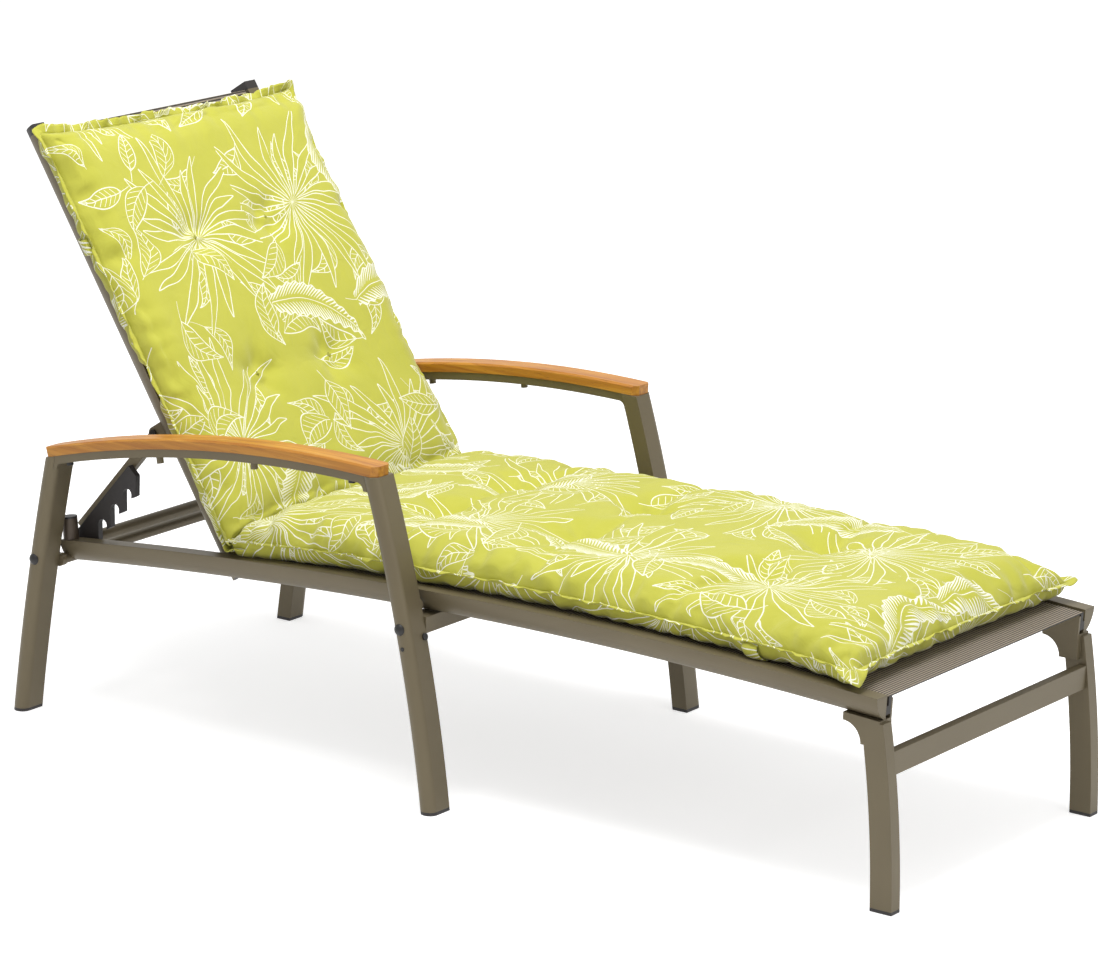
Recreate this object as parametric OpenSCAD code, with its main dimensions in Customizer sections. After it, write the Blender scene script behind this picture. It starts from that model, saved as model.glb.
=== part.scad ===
// Garden sun lounger with a reclining back, timber arm rests and a tufted pad.
// Millimetres. X runs along the lounger with the foot end at +X, Y across it
// with the sitter's left at +Y, and Z up from the floor.

/* [Side rails] */
// Distance over the outer faces of the two side rails
rail_span = 590; // [540:5:640]
// Width of the rail profile
rail_w = 26; // [22:1:32]
// Height of the rail profile
rail_h = 36; // [32:1:38]
// Radius of the rail's convex outer side
rail_side_r = 40; // [39:1:60]
// Wall of the rail profile
rail_wall = 2; // [1.5:0.1:3]
// Radius of the upward bow of the side rails
rail_bow_r = 9100; // [7500:100:12000]
// Distance from the hinge to the head end of the side rails
rail_head_len = 318; // [310:1:330]
// Distance from the hinge to the foot end of the side rails
rail_foot_len = 1210; // [1100:5:1300]
// Height of the rail's underside at the head end
rail_head_z = 243; // [235:1:250]
// Height of the rail's underside at the foot end
rail_foot_z = 280; // [270:1:290]
// Diameter of the vent hole in the top of each hollow rail
vent_d = 4; // [3:0.5:6]
// Length of the plug that closes a rail's end
rail_plug_len = 12; // [8:1:20]

/* [Arm frames] */
// Gap between a side rail and the inner faces of the legs beside it
leg_gap = 11; // [6:0.5:20]
// Width of the D profile of the legs, along the lounger
leg_w = 28; // [24:1:34]
// Depth of the D profile of the legs, across the lounger
leg_d = 44; // [36:1:48]
// Wall of the leg profile
leg_wall = 2; // [1.5:0.1:3]
// Place of the front leg's centre line on the floor, from the hinge
front_leg_foot = 456; // [440:1:480]
// Place of the front leg's centre line at the arm, from the hinge
front_leg_top = 347; // [330:1:360]
// Height at which the front leg's centre line meets the arm
front_leg_z = 503; // [480:1:520]
// Radius of the front leg's forward bow
front_leg_r = 2760; // [2000:10:4000]
// Place of the rear leg's centre line on the floor, behind the hinge
rear_leg_foot = 370; // [360:1:384]
// Place of the rear leg's centre line at the arm, behind the hinge
rear_leg_top = 292; // [282:1:300]
// Height at which the rear leg's centre line meets the arm
rear_leg_z = 422; // [410:1:435]
// Radius of the rear leg's backward bow
rear_leg_r = 4500; // [3000:50:7000]
// Height of the cap under each leg
leg_cap_h = 5; // [3:0.5:8]

/* [Arm rests] */
// Radius of the arch of the arm rest's top
arm_bow_r = 2126; // [1800:10:3000]
// Height of the arm rest's top at its rear end
arm_rear_z = 442; // [432:1:450]
// Height of the arm rest's top at its front end
arm_front_z = 518; // [505:1:530]
// Thickness of the timber
wood_t = 16; // [12:1:22]
// Width of the timber
wood_w = 42; // [36:1:44]
// Bevel along the timber's top edges
wood_bevel = 3; // [1:0.5:5]
// Corner cut at the timber's ends, seen from above
wood_corner = 9; // [4:1:14]
// Thickness of the metal arm bar
bar_t = 13; // [10:1:18]
// Width of the metal arm bar
bar_w = 38; // [30:1:40]
// Fillet between arm bar and leg
bar_fillet = 12; // [6:1:20]
// Number of screws that hold each timber
arm_screw_n = 4; // [2:1:6]
// Head diameter of the timber screws
arm_screw_d = 11; // [8:1:14]

/* [Foot legs] */
// Place of the foot leg's centre line on the floor, from the hinge
foot_leg_x = 1220; // [1200:1:1240]
// Distance by which the foot leg reaches in under the rail's inner face
foot_leg_tuck = 7; // [3:0.5:10]
// Width of the foot leg along the lounger
foot_leg_w = 36; // [30:1:44]
// Thickness of the foot leg across the lounger
foot_leg_t = 22; // [18:1:26]
// Radius of the foot leg's forward bow
foot_leg_r = 1680; // [1400:10:2400]
// Radius of the fillet where the foot leg flares under the rail
foot_flare_r = 30; // [20:1:40]
// Thickness of the flange on the inner side of the foot leg's head
foot_flange_t = 4; // [3:0.5:6]
// Height of the foot crossbar
foot_bar_h = 35; // [25:1:45]
// Thickness of the foot crossbar
foot_bar_t = 14; // [10:1:20]
// Height of the foot crossbar's underside
foot_bar_z = 198; // [150:1:220]

/* [Crossbars] */
// Width of the front crossbar along the lounger
front_bar_w = 32; // [20:1:36]
// Height of the front crossbar
front_bar_h = 25; // [20:1:36]
// Diameter of the round rear crossbar
rear_bar_d = 17; // [14:0.5:18]
// Height of the rear crossbar's centre
rear_bar_z = 249.5; // [246:0.5:251]
// Diameter of the spreader tubes under the seat
spreader_d = 20; // [16:1:24]
// Distance of the first spreader from the hinge
spreader_1 = 70; // [60:1:120]
// Distance of the second spreader from the hinge
spreader_2 = 800; // [600:5:1000]
// Diameter of the guide posts on the rails
post_d = 25; // [18:1:25]
// Height of the guide posts above the rail, without their caps
post_h = 34; // [20:1:34]
// Distance of the guide posts from the hinge
post_at = 305; // [290:1:305]
// Diameter of the large frame bolts' domed heads
bolt_head_d = 18; // [12:1:20]
// Diameter of the large frame bolts' shanks
bolt_d = 8; // [6:1:10]

/* [Back] */
// Angle of the back above the horizontal in its highest position
back_angle = 57.5; // [50:0.5:60]
// Length of the back from the hinge to the top of its end caps
back_len = 756; // [700:2:800]
// Length of the back below the hinge
back_tail = 20; // [18:1:22]
// Gap between the back's rails and the side rails
hinge_gap = 3; // [2:0.5:5]
// Height of the hinge above the floor
hinge_z = 284; // [280:1:288]
// Thickness of the back's rails
back_t = 36; // [34:1:38]
// Length of the black caps on the back's top ends
back_cap_len = 14; // [8:1:24]
// Diameter of the back's cross tubes
back_tube_d = 20; // [16:1:24]
// Distances of the back's cross tubes from the hinge
back_tube_at = [45, 330, 700]; // [30:1:740]
// Diameter of the hinge pins
hinge_pin_d = 10; // [8:1:12]
// Outer diameter of the hinge bushes
bush_d = 14; // [13:1:18]
// Outer diameter of the bushes' flanges
bush_flange_d = 22; // [19:1:28]

/* [Prop] */
// Distance of the prop's pivot from the hinge, along the back
prop_at = 240; // [225:1:255]
// Distance of the prop's pivot behind the back's rails
prop_drop = 10.5; // [10:0.5:11.5]
// Angle of the prop below the horizontal in the highest position
prop_angle = 48; // [47:0.5:49]
// Length of the prop's arms from their pivot
prop_len = 240; // [236:1:242]
// Distance of the prop's foot tube below the middle of its arms
prop_foot_drop = 24; // [22:1:26]
// Width of the prop's arms
prop_w = 18; // [14:1:18]
// Thickness of the prop's arms across the lounger
prop_t = 12; // [8:1:14]
// Diameter of the prop's cross tube
prop_tube_d = 20; // [16:1:24]
// Diameter of the prop's pivot bolts
prop_pin_d = 8; // [6:1:9]
// Thickness of the toothed racks
rack_t = 10; // [6:0.5:10]
// Distance of the rack's upper end from the pivot
rack_from = 76; // [68:1:80]
// Distance of the rack's first notch from the pivot
notch_from = 112.5; // [108:0.5:116]
// Distance between the rack's notches along the arm
rack_pitch = 39.5; // [38:0.5:41]
// Depth of the notches' centres below the middle of the arm
notch_drop = 31; // [29:0.5:33]
// Clearance of the notches round the rear crossbar, on the radius
notch_gap = 0.3; // [0.1:0.1:0.6]
// Reach of the rack's fingers below the notches' centres
finger_reach = 6; // [3:0.5:7]
// Radius of the rack's heel
heel_r = 18; // [15:0.5:19]

/* [Sling] */
// Thickness of the woven sling
sling_t = 1.6; // [1:0.1:2.5]
// Depth of the sling's top below the top of the rails
sling_drop = 2.4; // [1.5:0.1:4]
// Width of the strip that holds the sling's edge
strip_w = 12; // [8:1:14]
// Height of the strip that holds the sling's edge
strip_h = 26; // [18:1:28]
// Slot between the rail and the sling's edge
sling_slot = 5; // [3:0.5:6]

/* [Pad] */
// Distance from the pad's corners in to the outer faces of the side rails
pad_inset = 3; // [0:0.5:12]
// Amount by which the pad's long sides are drawn in
pad_side_draw = 16; // [10:1:24]
// Amount by which the pad's short ends are drawn in
pad_end_draw = 12; // [0:1:20]
// Height of the pad's crown above the sling
pad_crown = 70; // [50:1:80]
// Height of the seam round the pad above the sling
pad_seam = 28; // [28:1:34]
// Distance over which the pad rises from its seam to its crown
pad_rise = 95; // [60:1:130]
// Distance over which the seat pad's underside rises to its seam
seat_tuck = 46; // [30:1:80]
// Distance over which the back pad's underside rises to its seam
back_tuck = 62; // [60:1:90]
// Depth of the sewn tufts
tuft_depth = 21; // [8:1:30]
// Radius of the dimple round a tuft
tuft_r = 52; // [30:1:80]
// Distance between the two tufts of a row
tuft_gap = 172; // [120:2:240]
// Depth of the crease across the pad at each row of tufts
crease_depth = 6; // [0:1:12]
// Half width of that crease
crease_r = 34; // [20:1:60]
// Places of the seat's rows of tufts, from the hinge
seat_tufts = [288, 548, 871]; // [100:1:1150]
// Places of the back's rows of tufts, from the hinge
back_tufts = [265, 508]; // [100:1:700]
// Distance from the hinge at which the seat's sling begins
seat_from = 30; // [29:1:40]
// Distance from the hinge at which the seat pad begins
seat_pad_from = 25; // [24:1:40]
// Distance from the hinge at which the seat pad ends
seat_pad_to = 1172; // [1100:1:1180]
// Distance from the hinge at which the back pad begins
back_pad_from = 29; // [29:1:40]
// Distance from the hinge at which the back pad ends
back_pad_to = 745; // [690:1:750]

/* [Hidden] */

// Facets of the circles in the profiles
profile_fn = 64;
$fn = 64;
// Facets of a full turn on the large arcs, which keeps their segments short
arc_fn = 1440;
// Overrun of every cut
cut = 5;
// Gap at which a piece rests on its seat
seat_gap = 0.3;
full_turn = 360;
// Running clearance of a pin in its bore, on the radius
pin_gap = 0.05;

// Colours of the materials
frame_colour = [0.49, 0.45, 0.37];
wood_colour = [0.77, 0.52, 0.26];
black_colour = [0.13, 0.12, 0.12];
sling_colour = [0.22, 0.19, 0.16];
pad_colour = [0.79, 0.82, 0.29];
steel_colour = [0.62, 0.61, 0.58];

// Places across the lounger, measured from its middle
rail_out = rail_span / 2;
rail_in = rail_out - rail_w;
arm_in = rail_out + leg_gap;
arm_out = arm_in + leg_d;
arm_span = 2 * arm_out;
back_out = rail_in - hinge_gap;
back_span = 2 * back_out;
foot_leg_in = rail_in - foot_leg_tuck;
pad_w = rail_span - 2 * pad_inset;
back_in = back_out - rail_w;
strip_in = rail_in - strip_w;
back_strip_in = back_in - strip_w;
// Running clearance of the rack inside the back's rail
rack_gap = 1;
rack_out = back_out - rack_gap;
rack_in = rack_out - rack_t;
prop_in = rack_in - prop_t;

// Ends of the lounger, and the shift that puts its middle over the origin
back_end_x = -(back_len * cos(back_angle) + back_t / 2 * sin(back_angle));
foot_end_x = foot_leg_x + foot_leg_w / 2;
mid_x = (back_end_x + foot_end_x) / 2;

// Centre of the arc from p to q that bulges to the left of that direction
function arc_centre(p, q, r) =
  let (d = q - p, u = d / norm(d), h = sqrt(r * r - d * d / 4))
  (p + q) / 2 + h * [u.y, -u.x];
function angle_at(c, p) = atan2(p.y - c.y, p.x - c.x);
function height_on(c, r, x) = c.y + sqrt(r * r - pow(x - c.x, 2));
function place_on(c, r, a) = c + r * [cos(a), sin(a)];

rail_c = arc_centre([-rail_head_len, rail_head_z], [rail_foot_len, rail_foot_z], rail_bow_r);
rail_a0 = angle_at(rail_c, [rail_foot_len, rail_foot_z]);
rail_a1 = angle_at(rail_c, [-rail_head_len, rail_head_z]);
function rail_z(x) = height_on(rail_c, rail_bow_r, x);
sling_r = rail_bow_r + rail_h - sling_drop;
function sling_z(x) = height_on(rail_c, sling_r, x);

front_leg_c = arc_centre([front_leg_top, front_leg_z], [front_leg_foot, 0], front_leg_r);
rear_leg_c = arc_centre([-rear_leg_foot, 0], [-rear_leg_top, rear_leg_z], rear_leg_r);
function front_leg_x(z) = front_leg_c.x + sqrt(pow(front_leg_r, 2) - pow(z - front_leg_c.y, 2));
function rear_leg_x(z) = rear_leg_c.x - sqrt(pow(rear_leg_r, 2) - pow(z - rear_leg_c.y, 2));

// The arm rest's arch ends flush with the outer sides of its two legs
arm_rear_x = -rear_leg_top - leg_w / 2;
arm_front_x = front_leg_top + leg_w / 2;
arm_c = arc_centre([arm_rear_x, arm_rear_z], [arm_front_x, arm_front_z], arm_bow_r);
arm_a0 = angle_at(arm_c, [arm_front_x, arm_front_z]);
arm_a1 = angle_at(arm_c, [arm_rear_x, arm_rear_z]);
wood_r = arm_bow_r - wood_t;
bar_r = wood_r - bar_t;

foot_c = [foot_leg_x - foot_leg_r, 0];
foot_head_z = rail_z(foot_leg_x - foot_leg_w) - leg_cap_h;

front_bar_z = rail_z(front_leg_top + front_bar_w) - front_bar_h / 2 - seat_gap;
front_bolt_z = front_bar_z;
front_bolt_x = front_leg_x(front_bolt_z);
rear_bar_x = -(rail_head_len - rear_bar_d / 6);
// Blind plug low on the outer side of the front leg
leg_plug_z = front_bolt_z - bolt_head_d * 1.6;
leg_plug_d = bolt_d * 0.8;
leg_plug_h = leg_plug_d / 8;
rear_bar_half = rail_out + leg_gap / 2;
rear_bolt_z = rear_bar_z + rear_bar_d / 2;
rear_bolt_x = rear_leg_x(rear_bolt_z);

hinge = [0, hinge_z];
pivot = hinge + [
  -prop_at * cos(back_angle) - (back_t / 2 + prop_drop) * sin(back_angle),
  prop_at * sin(back_angle) - (back_t / 2 + prop_drop) * cos(back_angle)
];

// Puts the lounger's middle over the origin
module centred() {
  translate([-mid_x, 0, 0]) children();
}

// Mirrors a piece of the right side to the left side
module on_left() {
  mirror([0, 1, 0]) children();
}

module on_both() {
  children();
  on_left() children();
}

// Sweeps a profile along an arc in the X-Z plane. The profile's x runs outward
// from the arc and its y from the lounger's middle towards the right side.
module along_arc(c, r, a0, a1) {
  translate([c.x, 0, c.y])
    rotate([90, 0, 0])
      rotate([0, 0, a0])
        rotate_extrude(angle = a1 - a0, $fn = arc_fn)
          translate([r, 0]) children();
}

// Extrudes an outline in the X-Z plane between two places on the right side
module between(y0, y1) {
  translate([0, -y0, 0]) rotate([90, 0, 0]) linear_extrude(y1 - y0) children();
}

// A round bar along Y between two places on the right side
module bar_y(p, d, y0, y1) {
  translate([p.x, -y0, p.y]) rotate([90, 0, 0]) cylinder(d = d, h = y1 - y0);
}

// The back and the prop, drawn lying flat towards the head end
module in_back() {
  translate([0, 0, hinge_z]) rotate([0, back_angle, 0]) children();
}

module in_prop() {
  translate([pivot.x, 0, pivot.y]) rotate([0, -prop_angle, 0]) children();
}

// Profiles
module rail_outline(inset, inner, outer, high) {
  intersection() {
    translate([inset, inner + inset]) square([high - 2 * inset, outer - inner - inset]);
    translate([high, outer - rail_side_r]) circle(r = rail_side_r - inset, $fn = profile_fn);
  }
}

module leg_outline(inset) {
  half = leg_w / 2 - inset;
  translate([-half, arm_in + inset]) square([2 * half, leg_d - leg_w / 2 - inset]);
  translate([0, arm_out - leg_w / 2]) circle(r = half, $fn = profile_fn);
}

// Strip beside a rail, with a slot left open above it for the sling's edge
module strip_outline(outer, high) {
  top = high - sling_drop - sling_t;
  translate([top - strip_h, outer - strip_w]) square([strip_h, strip_w - sling_slot]);
  translate([top - strip_h, outer - strip_w]) square([strip_h / 2, strip_w]);
}

// Side rails
module rail_body() {
  along_arc(rail_c, rail_bow_r, rail_a0, rail_a1) rail_outline(0, rail_in, rail_out, rail_h);
}

module side_rail() {
  difference() {
    rail_body();
    along_arc(rail_c, rail_bow_r, rail_a0 - 1, rail_a1 + 1)
      rail_outline(rail_wall, rail_in, rail_out, rail_h);
    bar_y([rear_bar_x, rear_bar_z], rear_bar_d, 0, arm_out);
    bar_y(hinge, hinge_pin_d, 0, rail_in + 2 * rail_wall);
    translate([rail_c.x, -(rail_in + vent_d * 1.5), rail_z(rail_c.x) + rail_h / 2]) cylinder(d = vent_d, h = rail_h);
  }
}

module side_rail_right() {
  color(frame_colour) centred() side_rail();
}

module side_rail_left() {
  color(frame_colour) centred() on_left() side_rail();
}

module rail_plug(from, to) {
  along_arc(rail_c, rail_bow_r, from, to)
    rail_outline(rail_wall + 2 * pin_gap, rail_in, rail_out, rail_h);
}

module rail_plugs() {
  turn = rail_plug_len / rail_bow_r * 180 / PI;
  color(frame_colour) centred() on_both() {
    rail_plug(rail_a0, rail_a0 + turn);
    difference() {
      rail_plug(rail_a1 - turn, rail_a1);
      bar_y([rear_bar_x, rear_bar_z], rear_bar_d, 0, arm_out);
    }
  }
}

// Foot legs
module foot_leg_sweep(z1) {
  along_arc(foot_c, foot_leg_r, 0, asin(z1 / foot_leg_r))
    translate([-foot_leg_w / 2, foot_leg_in]) square([foot_leg_w, foot_leg_t]);
}

// Outline of the foot leg's head, which flares back under the rail
module foot_head_outline() {
  head_x = foot_c.x + sqrt(pow(foot_leg_r, 2) - pow(foot_head_z, 2));
  rear = head_x - foot_leg_w / 2;
  under = foot_head_z - leg_cap_h;
  translate([rear, under - foot_flare_r])
    square([rail_foot_len - rear, foot_flare_r + rail_h + leg_cap_h]);
  difference() {
    translate([rear - foot_flare_r, under - foot_flare_r])
      square([foot_flare_r + cut, foot_flare_r + rail_h / 2]);
    translate([rear - foot_flare_r, under - foot_flare_r]) circle(r = foot_flare_r);
  }
}

module foot_leg() {
  flange_in = strip_in - foot_flange_t;
  leg_out = foot_leg_in + foot_leg_t;
  top_x = rail_foot_len;
  difference() {
    union() {
      intersection() {
        foot_leg_sweep(foot_head_z + leg_cap_h);
        translate([0, -rail_span, leg_cap_h]) cube([2 * rail_foot_len, rail_span, foot_head_z]);
      }
      between(flange_in, leg_out) foot_head_outline();
    }
    along_arc(rail_c, rail_bow_r, rail_a0 - 1, rail_a1)
      translate([0, strip_in]) square([rail_h + cut, leg_out]);
    between(0, leg_out + cut) translate([top_x, foot_head_z]) square([foot_leg_w, rail_h * 2]);
  }
  flange_turn = (foot_leg_w + foot_flare_r / 2) / rail_bow_r * 180 / PI;
  along_arc(rail_c, rail_bow_r, rail_a0, rail_a0 + flange_turn)
    translate([-leg_cap_h, flange_in]) square([rail_h - sling_drop, foot_flange_t]);
}

module foot_leg_right() {
  color(frame_colour) centred() foot_leg();
}

module foot_leg_left() {
  color(frame_colour) centred() on_left() foot_leg();
}

module foot_leg_caps() {
  color(black_colour) centred() on_both() intersection() {
    foot_leg_sweep(2 * leg_cap_h);
    translate([0, -rail_span, 0]) cube([2 * rail_foot_len, rail_span, leg_cap_h]);
  }
}

module foot_crossbar() {
  mid_z = foot_bar_z + foot_bar_h / 2;
  front = foot_c.x + sqrt(pow(foot_leg_r, 2) - pow(mid_z, 2)) + foot_leg_w / 2 - foot_bar_t / 5;
  half = foot_leg_in;
  color(frame_colour) centred() difference() {
    translate([front - foot_bar_t, -half, foot_bar_z]) cube([foot_bar_t, 2 * half, foot_bar_h]);
    translate([front - foot_bar_t + rail_wall, -half - cut, foot_bar_z + rail_wall])
      cube([foot_bar_t - 2 * rail_wall, 2 * (half + cut), foot_bar_h - 2 * rail_wall]);
  }
}

// Legs of the arm frames
module front_leg_solid(inset, over) {
  a0 = angle_at(front_leg_c, [front_leg_foot, 0]);
  a1 = angle_at(front_leg_c, [front_leg_top, front_leg_z]);
  turn = over / front_leg_r * 180 / PI;
  along_arc(front_leg_c, front_leg_r, a0 - turn, a1 + turn) leg_outline(inset);
}

module rear_leg_solid(inset, over) {
  a0 = angle_at(rear_leg_c, [-rear_leg_top, rear_leg_z]);
  a1 = full_turn + angle_at(rear_leg_c, [-rear_leg_foot, 0]);
  turn = over / rear_leg_r * 180 / PI;
  along_arc(rear_leg_c, rear_leg_r, a0 - turn, a1 + turn) leg_outline(inset);
}

// Keeps what lies between two heights and below the timber's underside
module under_arm(z0, z1) {
  intersection() {
    children();
    translate([-arm_span, -arm_span, z0]) cube([2 * arm_span, 2 * arm_span, z1 - z0]);
    translate([arm_c.x, 0, arm_c.y]) rotate([90, 0, 0])
      cylinder(r = wood_r, h = 2 * arm_span, center = true, $fn = arc_fn);
  }
}

module front_leg() {
  difference() {
    under_arm(leg_cap_h, arm_span) front_leg_solid(0, 2 * leg_w);
    under_arm(-cut, front_leg_z - leg_w) front_leg_solid(leg_wall, 2 * leg_w);
    bar_y([front_bolt_x, front_bolt_z], bolt_d + 2 * pin_gap, 0, arm_span);
    bar_y([front_leg_x(leg_plug_z), leg_plug_z], leg_plug_d + 2 * pin_gap, arm_out - leg_wall, arm_span);
  }
}

module rear_leg() {
  difference() {
    under_arm(leg_cap_h, arm_span) rear_leg_solid(0, 2 * leg_w);
    under_arm(-cut, rear_leg_z - leg_w) rear_leg_solid(leg_wall, 2 * leg_w);
    bar_y([rear_bolt_x, rear_bolt_z], bolt_d + 2 * pin_gap, 0, arm_span);
  }
}

module front_leg_right() {
  color(frame_colour) centred() front_leg();
}

module front_leg_left() {
  color(frame_colour) centred() on_left() front_leg();
}

module rear_leg_right() {
  color(frame_colour) centred() rear_leg();
}

module rear_leg_left() {
  color(frame_colour) centred() on_left() rear_leg();
}

module leg_caps() {
  color(black_colour) centred() on_both() {
    under_arm(0, leg_cap_h) front_leg_solid(0, 2 * leg_w);
    under_arm(0, leg_cap_h) rear_leg_solid(0, 2 * leg_w);
  }
}

// Arm rests
module bar_fillet_outline(corner, side) {
  mirror([side, 0]) difference() {
    translate([-bar_t, -bar_fillet]) square([bar_fillet + bar_t, bar_fillet + bar_t / 2]);
    translate([bar_fillet, -bar_fillet]) circle(r = bar_fillet);
  }
}

module arm_bar() {
  in = arm_in + (leg_d - bar_w) / 2;
  front_z = height_on(arm_c, bar_r, front_leg_top - leg_w);
  front_x = front_leg_x(front_z) - leg_w / 2;
  rear_z = height_on(arm_c, bar_r, -rear_leg_top + leg_w);
  rear_x = rear_leg_x(rear_z) + leg_w / 2;
  difference() {
    intersection() {
      union() {
        along_arc(arm_c, bar_r, arm_a0, arm_a1)
          translate([0, in]) square([bar_t, bar_w]);
        between(in, in + bar_w) translate([front_x, front_z]) bar_fillet_outline(0, 1);
        between(in, in + bar_w) translate([rear_x, rear_z]) bar_fillet_outline(0, 0);
      }
      translate([arm_c.x, 0, arm_c.y]) rotate([90, 0, 0])
        cylinder(r = wood_r, h = 2 * arm_span, center = true, $fn = arc_fn);
      translate([-rear_leg_top, -arm_span, 0])
        cube([rear_leg_top + front_leg_top, 2 * arm_span, 2 * arm_span]);
    }
    front_leg_solid(0, 2 * leg_w);
    rear_leg_solid(0, 2 * leg_w);
    arm_screw_room(pin_gap);
  }
}

module arm_bar_right() {
  color(frame_colour) centred() arm_bar();
}

module arm_bar_left() {
  color(frame_colour) centred() on_left() arm_bar();
}

// Angles on the arch at which the timber's screws sit
arm_screw_from = angle_at(arm_c, [-rear_leg_top + leg_w, arm_rear_z]);
arm_screw_to = angle_at(arm_c, [front_leg_top - leg_w * 1.4, arm_front_z]);
arm_screw_step = (arm_screw_to - arm_screw_from) / (arm_screw_n - 1);
arm_screw_shank_d = arm_screw_d * 0.45;
arm_screw_head_t = arm_screw_d * 0.5;
arm_screw_out = arm_in + leg_d * 0.68;

// One screw for each place on the arch, pointing out from its centre
module at_arm_screws() {
  for (i = [0:arm_screw_n - 1])
    translate([arm_c.x, -arm_screw_out, arm_c.y])
      rotate([0, 90 - (arm_screw_from + i * arm_screw_step), 0])
        translate([0, 0, bar_r]) children();
}

module arm_screw_room(gap) {
  at_arm_screws() {
    cylinder(d = arm_screw_shank_d + 2 * gap, h = bar_t + wood_t * 0.6);
    translate([0, 0, -2 * arm_screw_head_t]) cylinder(d = arm_screw_d + 2 * gap, h = 2 * arm_screw_head_t);
  }
}

module arm_screws() {
  color(black_colour) centred() on_both() at_arm_screws() {
    cylinder(d = arm_screw_shank_d, h = bar_t + wood_t * 0.6);
    translate([0, 0, -arm_screw_head_t]) cylinder(d = arm_screw_d, h = arm_screw_head_t);
  }
}

module wood_outline() {
  half = wood_w / 2;
  translate([0, arm_in + leg_d / 2]) polygon([
    [0, -half], [wood_t - wood_bevel, -half], [wood_t, -half + wood_bevel],
    [wood_t, half - wood_bevel], [wood_t - wood_bevel, half], [0, half]
  ]);
}

// Cuts the two corners off one end of the timber, square to its arch; out is 1 at the front and -1 behind
module wood_corners(a, out) {
  for (side = [-1, 1])
    translate([arm_c.x, side * wood_w / 2 - (arm_in + leg_d / 2), arm_c.y]) rotate([0, 90 - a, 0])
      translate([0, 0, wood_r - cut]) rotate([0, 0, atan2(side, out)])
        translate([-wood_corner / sqrt(2), -wood_w / 2, 0]) cube([wood_w, wood_w, wood_t + 2 * cut]);
}

module arm_wood() {
  difference() {
    along_arc(arm_c, wood_r, arm_a0, arm_a1) wood_outline();
    wood_corners(arm_a0, 1);
    wood_corners(arm_a1, -1);
    arm_screw_room(pin_gap);
  }
}

module arm_wood_right() {
  color(wood_colour) centred() arm_wood();
}

module arm_wood_left() {
  color(wood_colour) centred() on_left() arm_wood();
}

// Crossbars and fastenings of the fixed frame
module front_crossbar() {
  half = arm_in - seat_gap;
  color(frame_colour) centred() difference() {
    translate([front_bolt_x - front_bar_w / 2, -half, front_bar_z - front_bar_h / 2])
      cube([front_bar_w, 2 * half, front_bar_h]);
    translate([front_bolt_x - front_bar_w / 2 + rail_wall, -half + rail_plug_len,
               front_bar_z - front_bar_h / 2 + rail_wall])
      cube([front_bar_w - 2 * rail_wall, 2 * (half - rail_plug_len), front_bar_h - 2 * rail_wall]);
    on_both() bar_y([front_bolt_x, front_bolt_z], bolt_d + 2 * pin_gap, half - rail_plug_len, half + cut);
  }
}

module rear_crossbar() {
  color(frame_colour) centred() difference() {
    translate([rear_bar_x, rear_bar_half, rear_bar_z]) rotate([90, 0, 0])
      cylinder(d = rear_bar_d, h = 2 * rear_bar_half);
    translate([rear_bar_x, rail_span, rear_bar_z]) rotate([90, 0, 0])
      cylinder(d = rear_bar_d - 2 * rail_wall, h = 2 * rail_span);
  }
}

module frame_bolt(p, shank_to) {
  head_h = bolt_head_d * 0.28;
  dome_r = (pow(bolt_head_d / 2, 2) + head_h * head_h) / (2 * head_h);
  bar_y(p, bolt_d, shank_to, arm_out);
  intersection() {
    translate([p.x, -(arm_out + head_h - dome_r), p.y]) sphere(r = dome_r, $fn = 64);
    bar_y(p, bolt_head_d, arm_out - leg_wall / 2, arm_out + head_h + cut);
  }
}

module frame_bolts() {
  color(black_colour) centred() on_both() difference() {
    union() {
      frame_bolt([front_bolt_x, front_bolt_z], arm_in - rail_plug_len / 2);
      frame_bolt([rear_bolt_x, rear_bolt_z], rail_out);
    }
    front_leg_solid(0, 2 * leg_w);
    rear_leg_solid(0, 2 * leg_w);
  }
  color(black_colour) centred() on_both() {
    bar_y([front_bolt_x, front_bolt_z], bolt_d, arm_in - rail_plug_len / 2, arm_out);
    bar_y([rear_bolt_x, rear_bolt_z], bolt_d, rail_out, arm_out);
  }
}

// Rounded blocks that fill the gap between the rails and the arm frames
module leg_spacers() {
  gap_in = rail_out + seat_gap;
  gap_out = arm_in - seat_gap;
  round_r = rear_bar_d / 2;
  front_x = front_leg_x(rail_z(front_leg_foot) + rail_h / 2);
  color(frame_colour) centred() on_both() {
    difference() {
      between(gap_in, gap_out) {
        translate([rear_bolt_x - round_r, rear_bar_z]) square([rear_bar_x - rear_bolt_x + 2 * round_r, round_r]);
        translate([rear_bolt_x, rear_bar_z + round_r / 2]) circle(r = round_r);
        translate([rear_bar_x, rear_bar_z]) circle(r = rear_bar_d * 0.6);
      }
      bar_y([rear_bolt_x, rear_bolt_z], bolt_d + 2 * pin_gap, 0, arm_span);
      bar_y([rear_bar_x, rear_bar_z], rear_bar_d, 0, rear_bar_half + seat_gap);
    }
    between(gap_in, gap_out) translate([front_x, rail_z(front_x) + rail_h * 0.35]) circle(r = rail_h * 0.28);
  }
}

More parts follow.
